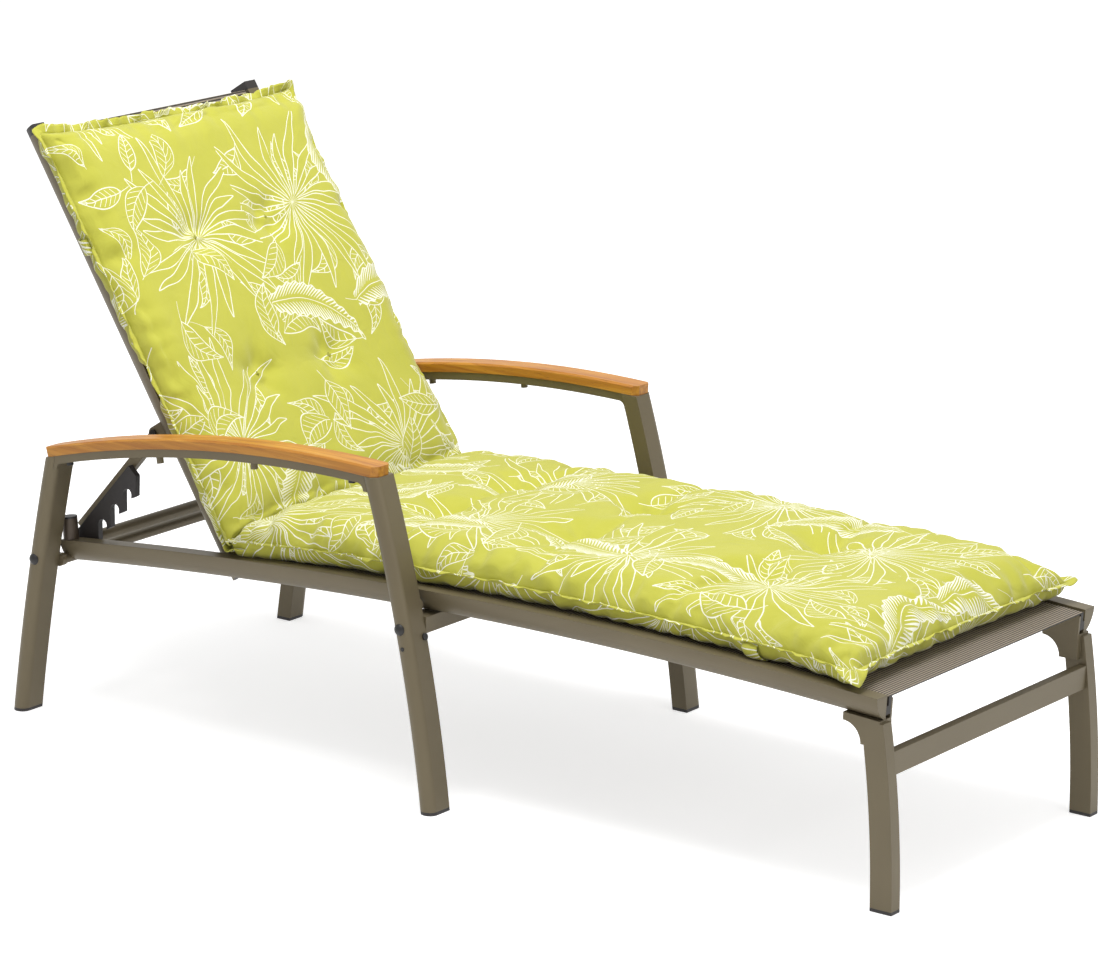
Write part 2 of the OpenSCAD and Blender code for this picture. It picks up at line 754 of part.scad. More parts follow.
// Screws on the front of the front legs, and the small plugs under the bolts
module crossbar_screws() {
  screw_z = front_bar_z - front_bar_h * 0.75;
  screw_a = angle_at(front_leg_c, [front_leg_x(screw_z), screw_z]);
  color(black_colour) centred() on_both() {
    translate([front_leg_c.x, -(arm_in + leg_d * 0.14), front_leg_c.y]) rotate([0, 90 - screw_a, 0])
      translate([0, 0, front_leg_r + leg_w / 2]) cylinder(d = bolt_d * 1.35, h = bolt_d * 0.35);
    bar_y([front_leg_x(leg_plug_z), leg_plug_z], leg_plug_d, arm_out - leg_wall, arm_out + leg_plug_h);
  }
}

// Guide posts, which stand square on the tops of the rails
post_a = angle_at(rail_c, [-post_at, rail_z(-post_at)]);
post_cap_h = post_d * 0.12;

module at_post() {
  translate([rail_c.x, -(rail_in + rail_out) / 2, rail_c.y]) rotate([0, 90 - post_a, 0])
    translate([0, 0, rail_bow_r + rail_h]) children();
}

module guide_post() {
  at_post() difference() {
    cylinder(d = post_d, h = post_h);
    translate([0, 0, rail_wall]) cylinder(d = post_d - 2 * rail_wall, h = post_h);
  }
}

module guide_post_right() {
  color(frame_colour) centred() guide_post();
}

module guide_post_left() {
  color(frame_colour) centred() on_left() guide_post();
}

module post_caps() {
  color(black_colour) centred() on_both() at_post() translate([0, 0, post_h]) {
    cylinder(d = post_d, h = post_cap_h);
    translate([0, 0, -2 * post_cap_h]) cylinder(d = post_d - 2 * rail_wall, h = 2 * post_cap_h);
  }
}

// Seat sling with its strips and spreaders
module seat_spreader(x) {
  p = [x, rail_z(x) + rail_h - sling_drop - sling_t - spreader_d / 2 - seat_gap * 4];
  color(frame_colour) centred() difference() {
    translate([p.x, strip_in, p.y]) rotate([90, 0, 0]) cylinder(d = spreader_d, h = 2 * strip_in);
    translate([p.x, rail_span, p.y]) rotate([90, 0, 0])
      cylinder(d = spreader_d - 2 * rail_wall, h = 2 * rail_span);
  }
}

module seat_spreader_rear() {
  seat_spreader(spreader_1);
}

module seat_spreader_front() {
  seat_spreader(spreader_2);
}

sling_from = angle_at(rail_c, [seat_from, rail_z(seat_from) + rail_h]);

module seat_strip() {
  along_arc(rail_c, rail_bow_r, rail_a0, sling_from) strip_outline(rail_in, rail_h);
}

module seat_strip_right() {
  color(black_colour) centred() seat_strip();
}

module seat_strip_left() {
  color(black_colour) centred() on_left() seat_strip();
}

module seat_sling() {
  half = rail_in - sling_slot;
  color(sling_colour) centred()
    along_arc(rail_c, sling_r - sling_t, rail_a0, sling_from)
      translate([0, -half]) square([sling_t, 2 * half]);
}

// Hinge pins, fixed in the side rails' inner walls, with their heads inside
module hinge_pins() {
  head_t = hinge_pin_d * 0.4;
  pin_in = back_in - seat_gap;
  color(steel_colour) centred() on_both() {
    bar_y(hinge, hinge_pin_d, pin_in - head_t, rail_in + 2 * rail_wall);
    bar_y(hinge, bush_d, pin_in - head_t, pin_in);
  }
}

// Back
module back_rail_solid(inset, from, to) {
  translate([-from, 0, -back_t / 2]) rotate([0, -90, 0]) linear_extrude(to - from)
    mirror([0, 1]) rail_outline(inset, back_in, back_out, back_t);
}

module back_rail() {
  to = back_len - back_cap_len;
  difference() {
    back_rail_solid(0, -back_tail, to);
    back_rail_solid(rail_wall, -back_tail - cut, to + cut);
    bar_y([0, 0], bush_d, 0, rail_out);
  }
}

module back_rail_right() {
  color(frame_colour) centred() in_back() back_rail();
}

module back_rail_left() {
  color(frame_colour) centred() in_back() on_left() back_rail();
}

module back_end_caps() {
  to = back_len - back_cap_len;
  color(black_colour) centred() in_back() on_both() {
    back_rail_solid(0, to, back_len);
    back_rail_solid(rail_wall, to - rail_plug_len, to);
    back_rail_solid(rail_wall, -back_tail, -back_tail + rail_wall);
  }
}

back_tube_drop = back_t / 2 - sling_drop - sling_t - back_tube_d / 2 - 4 * seat_gap;

module back_tube(s) {
  color(frame_colour) centred() in_back() difference() {
    translate([-s, back_strip_in, back_tube_drop]) rotate([90, 0, 0])
      cylinder(d = back_tube_d, h = 2 * back_strip_in);
    translate([-s, back_span, back_tube_drop]) rotate([90, 0, 0])
      cylinder(d = back_tube_d - 2 * rail_wall, h = 2 * back_span);
  }
}

module back_tube_low() {
  back_tube(back_tube_at[0]);
}

module back_tube_mid() {
  back_tube(back_tube_at[1]);
}

module back_tube_top() {
  back_tube(back_tube_at[2]);
}

module hinge_bushes() {
  flange_out = rail_in - 2 * seat_gap;
  color(black_colour) centred() in_back() on_both() difference() {
    union() {
      bar_y([0, 0], bush_d, back_in, back_out);
      bar_y([0, 0], bush_flange_d, back_out, flange_out);
    }
    bar_y([0, 0], hinge_pin_d + 2 * pin_gap, 0, rail_out);
  }
}

module back_strip() {
  strip_len = back_len - back_cap_len - bush_flange_d;
  translate([-bush_flange_d, 0, -back_t / 2]) rotate([0, -90, 0]) linear_extrude(strip_len)
    mirror([0, 1]) strip_outline(back_in, back_t);
}

module back_strip_right() {
  color(black_colour) centred() in_back() back_strip();
}

module back_strip_left() {
  color(black_colour) centred() in_back() on_left() back_strip();
}

module back_sling() {
  half = back_in - sling_slot;
  from = bush_flange_d;
  top = back_t / 2 - sling_drop;
  color(sling_colour) centred() in_back()
    translate([-back_len + back_cap_len, -half, top - sling_t])
      cube([back_len - back_cap_len - from, 2 * half, sling_t]);
}

// Prop
bracket_t = rail_wall * 1.75;

module bracket_cheek(y0) {
  drop = back_t / 2 + prop_drop;
  between(y0, y0 + bracket_t) {
    translate([-prop_at, -drop]) circle(d = prop_w * 1.2);
    translate([-prop_at - prop_w * 0.6, -drop]) square([prop_w * 1.2, drop]);
  }
}

module prop_bracket() {
  difference() {
    union() {
      bracket_cheek(rack_in + seat_gap);
      bracket_cheek(prop_in - seat_gap - bracket_t);
    }
    bar_y([-prop_at, -back_t / 2 - prop_drop], prop_pin_d, 0, rail_out);
    back_rail_solid(0, prop_at - prop_w, prop_at + prop_w);
    translate([-prop_at - prop_w, -back_in, -back_t / 2]) cube([2 * prop_w, back_in, back_t]);
  }
}

module prop_bracket_right() {
  color(frame_colour) centred() in_back() prop_bracket();
}

module prop_bracket_left() {
  color(frame_colour) centred() in_back() on_left() prop_bracket();
}

module prop_bolts() {
  head_d = prop_w * 0.75;
  out = rack_in + seat_gap + bracket_t;
  in = prop_in - seat_gap - bracket_t;
  color(black_colour) centred() in_back() on_both() {
    bar_y([-prop_at, -back_t / 2 - prop_drop], prop_pin_d, in, out);
    bar_y([-prop_at, -back_t / 2 - prop_drop], head_d, out, out + bracket_t);
    bar_y([-prop_at, -back_t / 2 - prop_drop], head_d, in - bracket_t, in);
  }
}

foot_tube = [-prop_len, -prop_foot_drop];

module prop_arm() {
  difference() {
    between(prop_in, rack_in) {
      circle(d = prop_w);
      translate([-prop_len, -prop_w / 2]) square([prop_len, prop_w]);
      translate(foot_tube) circle(d = prop_tube_d * 1.3);
      polygon([
        foot_tube, foot_tube + prop_tube_d * 0.65 * [1, 0],
        [-prop_len + prop_w * 1.5, 0], [-prop_len, 0]
      ]);
    }
    bar_y([0, 0], prop_pin_d + 2 * pin_gap, 0, rail_out);
    bar_y(foot_tube, prop_tube_d, 0, rail_out);
  }
}

module prop_arm_right() {
  color(frame_colour) centred() in_prop() prop_arm();
}

module prop_arm_left() {
  color(frame_colour) centred() in_prop() on_left() prop_arm();
}

module prop_cross_tube() {
  half = rack_in;
  color(frame_colour) centred() in_prop() difference() {
    translate([foot_tube.x, half, foot_tube.y]) rotate([90, 0, 0])
      cylinder(d = prop_tube_d, h = 2 * half);
    translate([foot_tube.x, half - rail_wall, foot_tube.y]) rotate([90, 0, 0])
      cylinder(d = prop_tube_d - 2 * rail_wall, h = 2 * (half - rail_wall));
  }
}

// Rack: a plate beside the arm, whose notches open straight down
notch_n = 3;
notch_r = rear_bar_d / 2 + notch_gap;
slot_half = notch_r - notch_gap / 2;
finger_w = rack_pitch * cos(prop_angle) - 2 * slot_half;
rack_band = notch_drop * 0.76;
rack_top = prop_w * 0.14;
function notch_at(i) = [-(notch_from + i * rack_pitch), -notch_drop];
// Turns an upright vector into the prop's own directions
function upright(x, z) = [
  x * cos(prop_angle) + z * sin(prop_angle),
  z * cos(prop_angle) - x * sin(prop_angle)
];

// The edge round one notch, from the finger on its right to the top of the slot, in the notch's own place
function notch_edge(i) = [
  notch_at(i) + upright(slot_half + finger_w, -finger_reach + tan(back_angle / 2) * finger_w),
  notch_at(i) + upright(slot_half, -finger_reach),
  notch_at(i) + upright(slot_half, 0),
  notch_at(i) + upright(-slot_half, 0)
];

// The round heel about the foot tube, from the side of the last slot to the top
heel_from = -70;
heel_to = -270;
heel_steps = 40;
function heel_edge() = [
  for (i = [0:heel_steps])
    let (a = heel_from + (heel_to - heel_from) * i / heel_steps)
    foot_tube + heel_r * [cos(a), sin(a)]
];

// The whole outline: a straight band, fingers between open slots, and the heel
module rack_outline() {
  last = notch_at(notch_n - 1);
  difference() {
    polygon(concat(
      [[-rack_from, -rack_top], [-rack_from, -rack_band]],
      [for (i = [0:notch_n - 1]) each notch_edge(i)],
      [last + upright(-slot_half, -heel_r * 1.5)],
      heel_edge(),
      [[-prop_len, -rack_top]]
    ));
    for (i = [0:notch_n - 1]) translate(notch_at(i)) circle(r = notch_r);
  }
}

module prop_rack() {
  difference() {
    between(rack_in, rack_out) rack_outline();
    at_rack_screws() bar_y([0, 0], bolt_d / 2, 0, rail_out);
  }
}

module at_rack_screws() {
  for (u = [rack_from + bolt_d, (rack_from + prop_len) / 2])
    translate([-u, 0, -prop_w * 0.31]) children();
}

module prop_rack_right() {
  color(black_colour) centred() in_prop() prop_rack();
}

module prop_rack_left() {
  color(black_colour) centred() in_prop() on_left() prop_rack();
}

module rack_screws() {
  color(steel_colour) centred() in_prop() on_both() at_rack_screws()
    bar_y([0, 0], bolt_d / 2, rack_in, rack_out);
}

// Pad: a closed skin from a grid of points, flat below and crowned above
pad_nx = 32;
pad_ny = 18;
// Shares of even and of end-weighted spacing in the grid along the pad
pad_even_share = 0.5;

function spaced(t) = pad_even_share * t + (1 - pad_even_share) * (0.5 - 0.5 * cos(180 * t));
// Quarter-round rise from 0 at the seam to 1 at the crown
function rise(d) = d >= pad_rise ? 1 : sqrt(1 - pow(1 - max(d, 0) / pad_rise, 2));
function sum(v, i = 0) = i < len(v) ? v[i] + sum(v, i + 1) : 0;
function dip(x, y, rows) = sum([
  for (r = rows) for (side = [-1, 1])
    tuft_depth * exp(-(pow(x - r, 2) + pow(y - side * tuft_gap / 2, 2)) / pow(tuft_r, 2))
]) + sum([for (r = rows) crease_depth * exp(-pow((x - r) / crease_r, 2))]);

// The pad's grid: a and b run from 0 to 1 along and across it
function pad_x(a, b, from, to) =
  let (pull = pad_end_draw * (1 - pow(2 * b - 1, 4)))
  from + pull + (to - from - 2 * pull) * a;
function pad_half(a) = pad_w / 2 - pad_side_draw * (1 - pow(2 * a - 1, 6));
function pad_y(a, b) = pad_half(a) * (2 * b - 1);
function pad_end(a, from, to) = min(a, 1 - a) * (to - from);
function pad_side(a, b) = pad_half(a) * (1 - abs(2 * b - 1));
function pad_top(a, b, from, to, rows) =
  let (f = rise(pad_end(a, from, to)) * rise(pad_side(a, b)))
  pad_seam + (pad_crown - pad_seam - dip(pad_x(a, b, from, to), pad_y(a, b), rows)) * f;
function pad_under(a, b, from, to, tuck, power) =
  pad_seam * pow(max(0, 1 - pad_side(a, b) / tuck, 1 - pad_end(a, from, to) / tuck), power);

function grid_at(i, j) = i * (pad_ny + 1) + j;
function is_rim(i, j) = i == 0 || j == 0 || i == pad_nx || j == pad_ny;
function under_at(i, j) = is_rim(i, j) ? grid_at(i, j)
  : (pad_nx + 1) * (pad_ny + 1) + (i - 1) * (pad_ny - 1) + j - 1;
// Two triangles over a cell, split so that the pad's corners stay open
function cell(p, q, r, s, even) = even ? [[p, q, r], [p, r, s]] : [[p, q, s], [q, r, s]];
function is_even(i, j) = (i < pad_nx / 2) == (j < pad_ny / 2);

module pad(from, to, rows, tuck, power, on_seat) {
  top = [for (i = [0:pad_nx]) for (j = [0:pad_ny])
    let (a = spaced(i / pad_nx), b = spaced(j / pad_ny))
    [pad_x(a, b, from, to), pad_y(a, b), pad_top(a, b, from, to, rows)]];
  under = [for (i = [1:pad_nx - 1]) for (j = [1:pad_ny - 1])
    let (a = spaced(i / pad_nx), b = spaced(j / pad_ny))
    [pad_x(a, b, from, to), pad_y(a, b), pad_under(a, b, from, to, tuck, power)]];
  faces_top = [for (i = [0:pad_nx - 1]) for (j = [0:pad_ny - 1])
    each cell(grid_at(i, j), grid_at(i, j + 1), grid_at(i + 1, j + 1), grid_at(i + 1, j), is_even(i, j))];
  faces_under = [for (i = [0:pad_nx - 1]) for (j = [0:pad_ny - 1])
    each [for (f = cell(under_at(i, j), under_at(i, j + 1), under_at(i + 1, j + 1),
                        under_at(i + 1, j), is_even(i, j))) [f[2], f[1], f[0]]]];
  points = [for (p = concat(top, under)) on_seat ? [p.x, p.y, p.z + sling_z(p.x) + seat_gap]
    : [-p.x, -p.y, p.z + back_t / 2 - sling_drop + seat_gap]];
  polyhedron(points = points, faces = concat(faces_top, faces_under));
}

module seat_cushion() {
  color(pad_colour) centred() pad(seat_pad_from, seat_pad_to, seat_tufts, seat_tuck, 2, true);
}

module back_cushion() {
  color(pad_colour) centred() in_back()
    pad(back_pad_from, back_pad_to, back_tufts, back_tuck, 1, false);
}

side_rail_right();
side_rail_left();
rail_plugs();
foot_leg_right();
foot_leg_left();
foot_leg_caps();
foot_crossbar();
front_leg_right();
front_leg_left();
rear_leg_right();
rear_leg_left();
leg_caps();
arm_bar_right();
arm_bar_left();
arm_wood_right();
arm_wood_left();
arm_screws();
front_crossbar();
rear_crossbar();
frame_bolts();
leg_spacers();
crossbar_screws();
guide_post_right();
guide_post_left();
post_caps();
seat_spreader_rear();
seat_spreader_front();
seat_sling();
seat_strip_right();
seat_strip_left();
seat_cushion();
hinge_pins();
back_rail_right();
back_rail_left();
back_end_caps();
back_tube_low();
back_tube_mid();
back_tube_top();
hinge_bushes();
back_sling();
back_strip_right();
back_strip_left();
back_cushion();
prop_bracket_right();
prop_bracket_left();
prop_bolts();
prop_arm_right();
prop_arm_left();
prop_cross_tube();
prop_rack_right();
prop_rack_left();
rack_screws();
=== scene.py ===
# %% [markdown]
# # A sun lounger with a tufted pad
#
# This script dresses an exact model of a folding sun lounger and lights it like a catalogue picture.
# The model arrives as named parts in one shared frame: +X points to the foot end, +Z is up and the lengths
# are in metres. The frame, slings and fittings keep their exact shapes and get materials. The two halves of
# the pad are sewn and inflated here, because a filled cushion gets its looks from cloth under pressure.
#
# The lesson runs in this order: the view, the finishes, the printed cotton, the pad, and the light.

import math

import bpy
import numpy as np
from mathutils import Matrix, Vector, noise


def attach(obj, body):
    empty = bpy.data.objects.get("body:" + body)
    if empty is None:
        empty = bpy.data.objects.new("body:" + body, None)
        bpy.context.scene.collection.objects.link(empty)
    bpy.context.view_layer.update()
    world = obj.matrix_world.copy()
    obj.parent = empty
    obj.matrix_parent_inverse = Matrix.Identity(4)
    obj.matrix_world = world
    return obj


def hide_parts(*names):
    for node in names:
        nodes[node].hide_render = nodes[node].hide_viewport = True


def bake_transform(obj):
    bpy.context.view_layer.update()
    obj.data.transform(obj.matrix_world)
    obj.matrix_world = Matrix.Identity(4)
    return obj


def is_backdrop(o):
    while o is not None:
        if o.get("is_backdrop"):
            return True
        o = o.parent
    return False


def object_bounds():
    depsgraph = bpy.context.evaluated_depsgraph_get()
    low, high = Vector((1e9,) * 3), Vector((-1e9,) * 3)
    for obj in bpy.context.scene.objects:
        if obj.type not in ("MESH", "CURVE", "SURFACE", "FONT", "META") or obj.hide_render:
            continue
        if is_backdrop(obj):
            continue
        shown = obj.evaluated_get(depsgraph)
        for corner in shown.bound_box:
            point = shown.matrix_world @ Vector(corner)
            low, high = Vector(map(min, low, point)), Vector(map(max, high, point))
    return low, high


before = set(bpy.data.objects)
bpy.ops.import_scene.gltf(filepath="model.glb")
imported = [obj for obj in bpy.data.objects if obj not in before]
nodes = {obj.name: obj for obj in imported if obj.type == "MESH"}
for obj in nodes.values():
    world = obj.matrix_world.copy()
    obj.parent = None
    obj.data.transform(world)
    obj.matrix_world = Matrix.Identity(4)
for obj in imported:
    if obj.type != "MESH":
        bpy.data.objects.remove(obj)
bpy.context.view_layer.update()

# %% [markdown]
# ## The view
#
# The picture was taken from the foot end, a little above the pad, with a long lens. The camera's place and
# its turns come from lining up the legs, rails and armrests of the model with the same points in the picture.

# %% Place the camera
CAMERA_AT = (4.11219, -5.4808, 2.2405)
TURN, TILT, ROLL = 0.640, -0.258, 0.010  # radians
LENS, SENSOR = 150.85, 36  # millimetres
SHIFT_X, SHIFT_Y = -0.00524, -0.0028  # shares of the picture's width


def linked(name, data):
    """A new object with that data, in the scene."""
    made = bpy.data.objects.new(name, data)
    bpy.context.scene.collection.objects.link(made)
    return made


forward = Vector((-math.sin(TURN) * math.cos(TILT), math.cos(TURN) * math.cos(TILT), math.sin(TILT)))
right = Vector((math.cos(TURN), math.sin(TURN), 0))
up = right.cross(forward)
across = right * math.cos(ROLL) + up * math.sin(ROLL)
upward = up * math.cos(ROLL) - right * math.sin(ROLL)

camera = linked("camera", bpy.data.cameras.new("camera"))
bpy.context.scene.camera = camera
turned = Matrix((across, upward, -forward)).transposed().to_4x4()
camera.matrix_world = Matrix.Translation(CAMERA_AT) @ turned
camera.data.lens = LENS
camera.data.sensor_width = SENSOR
camera.data.sensor_fit = "HORIZONTAL"
camera.data.shift_x = SHIFT_X
camera.data.shift_y = SHIFT_Y
print("camera at", CAMERA_AT, "with a lens of", LENS, "mm")

# %% [markdown]
# ## Helpers for materials
#
# Colours are written as hex values, as a paint chart gives them, and one function turns them into linear
# light. Another small function adds a shader node, gives it its settings and joins its inputs.

# %% Colour and node helpers
FACTOR, COLOUR_A, COLOUR_B, COLOUR_OUT = 0, 6, 7, 2  # the sockets of a Mix node that mixes colours


def colour(code, share=1.0):
    """Linear RGBA of an sRGB hex code, dimmed to that share of its light."""
    parts = [int(code[i : i + 2], 16) / 255 for i in (0, 2, 4)]
    linear = [c / 12.92 if c <= 0.04045 else ((c + 0.055) / 1.055) ** 2.4 for c in parts]
    return tuple(c * share for c in linear) + (1.0,)


def add(tree, kind, inputs=(), **settings):
    """A new shader node with its settings and links. Its kind may be followed by its operation.

    Inputs are given in order or by name. Each is a value, a socket, or a node whose first output is used."""
    kind, _, operation = kind.partition(" ")
    made = tree.nodes.new("ShaderNode" + kind)
    if operation:
        made.operation = operation
    for key, value in settings.items():
        setattr(made, key, value)
    pairs = inputs.items() if isinstance(inputs, dict) else enumerate(inputs)
    for key, value in pairs:
        source = value.outputs[0] if isinstance(value, bpy.types.Node) else value
        if isinstance(source, bpy.types.NodeSocket):
            tree.links.new(source, made.inputs[key])
        else:
            made.inputs[key].default_value = source
    return made


def material(name, **values):
    """A new material, its node tree and its Principled shader, with constant values on the shader."""
    made = bpy.data.materials.new(name)
    made.use_nodes = True
    shader = made.node_tree.nodes["Principled BSDF"]
    for key, value in values.items():
        shader.inputs[key.replace("_", " ")].default_value = value
    return made, made.node_tree, shader


def paint(tree, shader, share, first, second):
    """The base colour goes from the first colour to the second with that share."""
    mixed = add(tree, "Mix", {FACTOR: share, COLOUR_A: first, COLOUR_B: second}, data_type="RGBA")
    tree.links.new(mixed.outputs[COLOUR_OUT], shader.inputs["Base Color"])


def soft_edges(tree, shader, height, strength, distance, radius=0.0012):
    """Rounds the sharp edges in the shading, and adds a fine relief on top."""
    rounded = add(tree, "Bevel", {"Radius": radius}, samples=4)
    relief = add(tree, "Bump", {"Strength": strength, "Distance": distance, "Height": height,
                                "Normal": rounded})
    tree.links.new(relief.outputs[0], shader.inputs["Normal"])


print("white is", colour("ffffff"))

# %% [markdown]
# ## Metal, plastic and wood
#
# The tubes are aluminium with a champagne powder coat: a dull sheen in two close shades that drift over
# about ten centimetres, and a fine grain. The fittings are black glass filled nylon with the dull grain of a
# mould. The bolts are steel with a black zinc plating, which shines a little more than the nylon. The hinge
# pins are bare stainless steel. The grains are drawn 0.6 to 3 mm coarse, since the real ones, at most a few
# tenths of a millimetre, are too fine to show.

# %% Powder coat, plastic and steel
def finish(name, dark, light, cloud, grain, relief, radius=0.0012, **values):
    """Two shades in a soft cloud under a grain, with edges rounded to that radius.

    Cloud and grain are the (scale, detail) of a noise, and relief is the grain's (strength, distance)."""
    made, tree, shader = material(name, **values)
    place = add(tree, "TexCoord").outputs["Object"]
    shade, rough = [add(tree, "TexNoise", {"Vector": place, "Scale": scale, "Detail": detail})
                    for scale, detail in (cloud, grain)]
    paint(tree, shader, shade, dark, light)
    strength, distance = relief
    soft_edges(tree, shader, rough, strength, distance, radius)
    return made


def powder_coat(name, dark, light):
    return finish(name, colour(dark), colour(light), cloud=(9.0, 3.0), grain=(1600.0, 1.0),
                  relief=(0.12, 0.0003), Metallic=0.25, Roughness=0.45, Specular_IOR_Level=0.4)


def moulded(name, code, roughness):
    return finish(name, colour(code, 0.8), colour(code), cloud=(40.0, 2.0), grain=(900.0, 2.0),
                  relief=(0.15, 0.0003), radius=0.001, Metallic=0.0, Roughness=roughness, IOR=1.46)


def steel(name, code, roughness):
    return finish(name, colour(code, 0.7), colour(code), cloud=(300.0, 3.0), grain=(300.0, 3.0),
                  relief=(0.1, 0.0002), radius=0.0006, Metallic=1.0, Roughness=roughness)


metal = powder_coat("champagne powder coated aluminium", "665c47", "70664f")
dark_metal = powder_coat("bronze powder coated steel", "4c4238", "574c41")
black = moulded("black glass filled nylon", "292524", 0.48)
black_screw = moulded("black zinc plated bolt", "1a1817", 0.40)
bright_steel = steel("stainless steel", "b9b6b0", 0.3)
print("finishes:", ", ".join(m.name for m in (metal, dark_metal, black, black_screw, bright_steel)))

# %% [markdown]
# The armrests are oiled teak. The grain runs along the arm, so the noise is stretched twenty to thirty times
# in that direction: bands about 9 mm wide, and short dark pores. Real pores, about 0.3 mm wide, are too fine
# to show, so they are drawn 1.4 mm wide.

# %% Teak
def teak():
    made, tree, shader = material("oiled teak", Metallic=0.0, Roughness=0.44, IOR=1.5)
    place = add(tree, "TexCoord").outputs["Object"]
    along = add(tree, "Mapping", {"Vector": place, "Scale": (1.6, 34.0, 34.0)})
    bands = add(tree, "TexNoise", {"Vector": along, "Scale": 3.2, "Detail": 4.0, "Distortion": 0.6})
    fine = add(tree, "Mapping", {"Vector": place, "Scale": (14.0, 420.0, 420.0)})
    pores = add(tree, "TexNoise", {"Vector": fine, "Scale": 1.7, "Detail": 2.0})
    grown = add(tree, "ValToRGB", (bands,))
    stops = grown.color_ramp.elements
    stops[0].position, stops[0].color = 0.30, colour("a2631a")
    stops[1].position, stops[1].color = 0.72, colour("cd9236")
    stops.new(0.5).color = colour("b97b24")
    pore = add(tree, "Math LESS_THAN", (pores, 0.36))
    dark = add(tree, "Math MULTIPLY", (pore, 0.45))
    paint(tree, shader, dark, grown, colour("7c4c1e"))
    soft_edges(tree, shader, pores, 0.25, 0.0004, 0.0015)
    return made


wood = teak()
print("wood:", wood.name)

# %% [markdown]
# The slings are woven from dark coated yarn. Thick ribs lie across them every 5 mm, and thin yarns about a
# millimetre apart cross the ribs. Each rib's top is painted pale as a painted highlight, the hollows between
# are painted nearly black as painted shade, and each yarn adds a faint painted sheen. The ribs are counted
# along the
# panel: along X on the seat, and along its own slope on the back.

# %% Woven sling
BACK_ANGLE = math.radians(57.5)
HINGE_X = -0.40831
HINGE = Vector((HINGE_X, 0.0, 0.284))
BACK_UP = Vector((-math.cos(BACK_ANGLE), 0.0, math.sin(BACK_ANGLE)))
BACK_OUT = Vector((math.sin(BACK_ANGLE), 0.0, math.cos(BACK_ANGLE)))
RIB = 0.005
YARN = 0.0011


def ripple(tree, value, pitch):
    """A wave from -1 to 1 along a value, with that pitch."""
    turns = add(tree, "Math MULTIPLY", (value, 2 * math.pi / pitch))
    return add(tree, "Math SINE", (turns,))


def woven(name, along):
    made, tree, shader = material(name, Metallic=0.0, Roughness=0.6, IOR=1.5)
    place = add(tree, "TexCoord").outputs["Object"]
    run = add(tree, "VectorMath DOT_PRODUCT", (place, tuple(along))).outputs["Value"]
    side = add(tree, "SeparateXYZ", (place,)).outputs["Y"]
    rib = add(tree, "Math MULTIPLY_ADD", (ripple(tree, run, RIB), 0.5, 0.5))
    yarn = add(tree, "Math MULTIPLY_ADD", (ripple(tree, side, YARN), 0.5, 0.5))
    # painted highlight on each rib's top and painted shade in the hollows between, with a faint painted sheen
    # along each yarn
    rib_highlight = add(tree, "Math POWER", (rib, 1.3))
    yarn_sheen = add(tree, "Math MULTIPLY_ADD", (yarn, 0.08, 0.92))
    lit = add(tree, "Math MULTIPLY", (rib_highlight, yarn_sheen))
    paint(tree, shader, lit, colour("1d1814"), colour("a39684"))
    height = add(tree, "Math MULTIPLY_ADD", (yarn, 0.25, rib))
    relief = add(tree, "Bump", {"Strength": 0.8, "Distance": 0.0009, "Height": height})
    tree.links.new(relief.outputs[0], shader.inputs["Normal"])
    return made


seat_weave = woven("woven seat sling", (1, 0, 0))
back_weave = woven("woven back sling", BACK_UP)
strip = moulded("black sling strip", "26221f", 0.55)
print("rib pitch", RIB * 1000, "mm, yarn pitch", YARN * 1000, "mm")

# %% Give every exact part its finish
FINISH = {
    wood: ("arm_wood",),
    black: ("foot_leg_caps", "leg_caps", "post_caps", "back_end_caps", "prop_rack", "hinge_bushes"),
    dark_metal: ("guide_post",),
    black_screw: ("frame_bolts", "prop_bolts", "crossbar_screws", "rack_screws", "arm_screws"),
    bright_steel: ("hinge_pins",),
    seat_weave: ("seat_sling",),
    back_weave: ("back_sling",),
    strip: ("seat_strip", "back_strip"),
}
for name, part in nodes.items():
    found = [look for look, starts in FINISH.items() if name.startswith(starts)]
    part.data.materials.clear()
    part.data.materials.append(found[0] if found else metal)
print("metal parts:", sum(p.data.materials[0] == metal for p in nodes.values()))

# %% [markdown]
# ## The print on the cotton
#
# The cloth is lime cotton with a pale line drawing of leaves: broad fans, hatched fronds and veined leaves,
# one in front of another. Each kind of leaf is a drawing in its own small coordinates. A Voronoi texture
# hands every point the centre of its nearest cell and a random number, which is enough to place, turn and
# vary the leaves. The drawing lives on the flat cloth, in metres, so it bends and wrinkles with the pad.

# %% Tools for drawing with nodes
LINE = 0.0009  # half the width of a drawn line
SHIFT_ACROSS = 0.63  # the share of a drawing's shift along the cloth that also applies across it


def cells(tree, flat, spacing, shift, spread):
    """Local place in the nearest cell, turned at random, and two random numbers for that cell."""
    moved = add(tree, "VectorMath ADD", (flat, (shift, shift * SHIFT_ACROSS, 0)))
    cell = add(tree, "TexVoronoi", {"Vector": moved, "Scale": 1 / spacing, "Randomness": spread},
               voronoi_dimensions="2D")
    local = add(tree, "VectorMath SUBTRACT", (moved, cell.outputs["Position"]))
    chance = add(tree, "SeparateColor", (cell.outputs["Color"],)).outputs
    turn = add(tree, "Math MULTIPLY", (chance[0], 2 * math.pi))
    place = add(tree, "VectorRotate", {"Vector": local, "Angle": turn}, rotation_type="Z_AXIS")
    axes = add(tree, "SeparateXYZ", (place,)).outputs
    return axes["X"], axes["Y"], chance[1], chance[2]


def near(tree, value, width):
    """1 where the value is within that width of zero."""
    size = add(tree, "Math ABSOLUTE", (value,))
    return add(tree, "Math LESS_THAN", (size, width))


def both(tree, *masks):
    """1 where all the masks are 1."""
    result = masks[0]
    for other in masks[1:]:
        result = add(tree, "Math MULTIPLY", (result, other))
    return result


def either(tree, *masks):
    """1 where one of the masks is 1."""
    result = masks[0]
    for other in masks[1:]:
        result = add(tree, "Math MAXIMUM", (result, other))
    return result


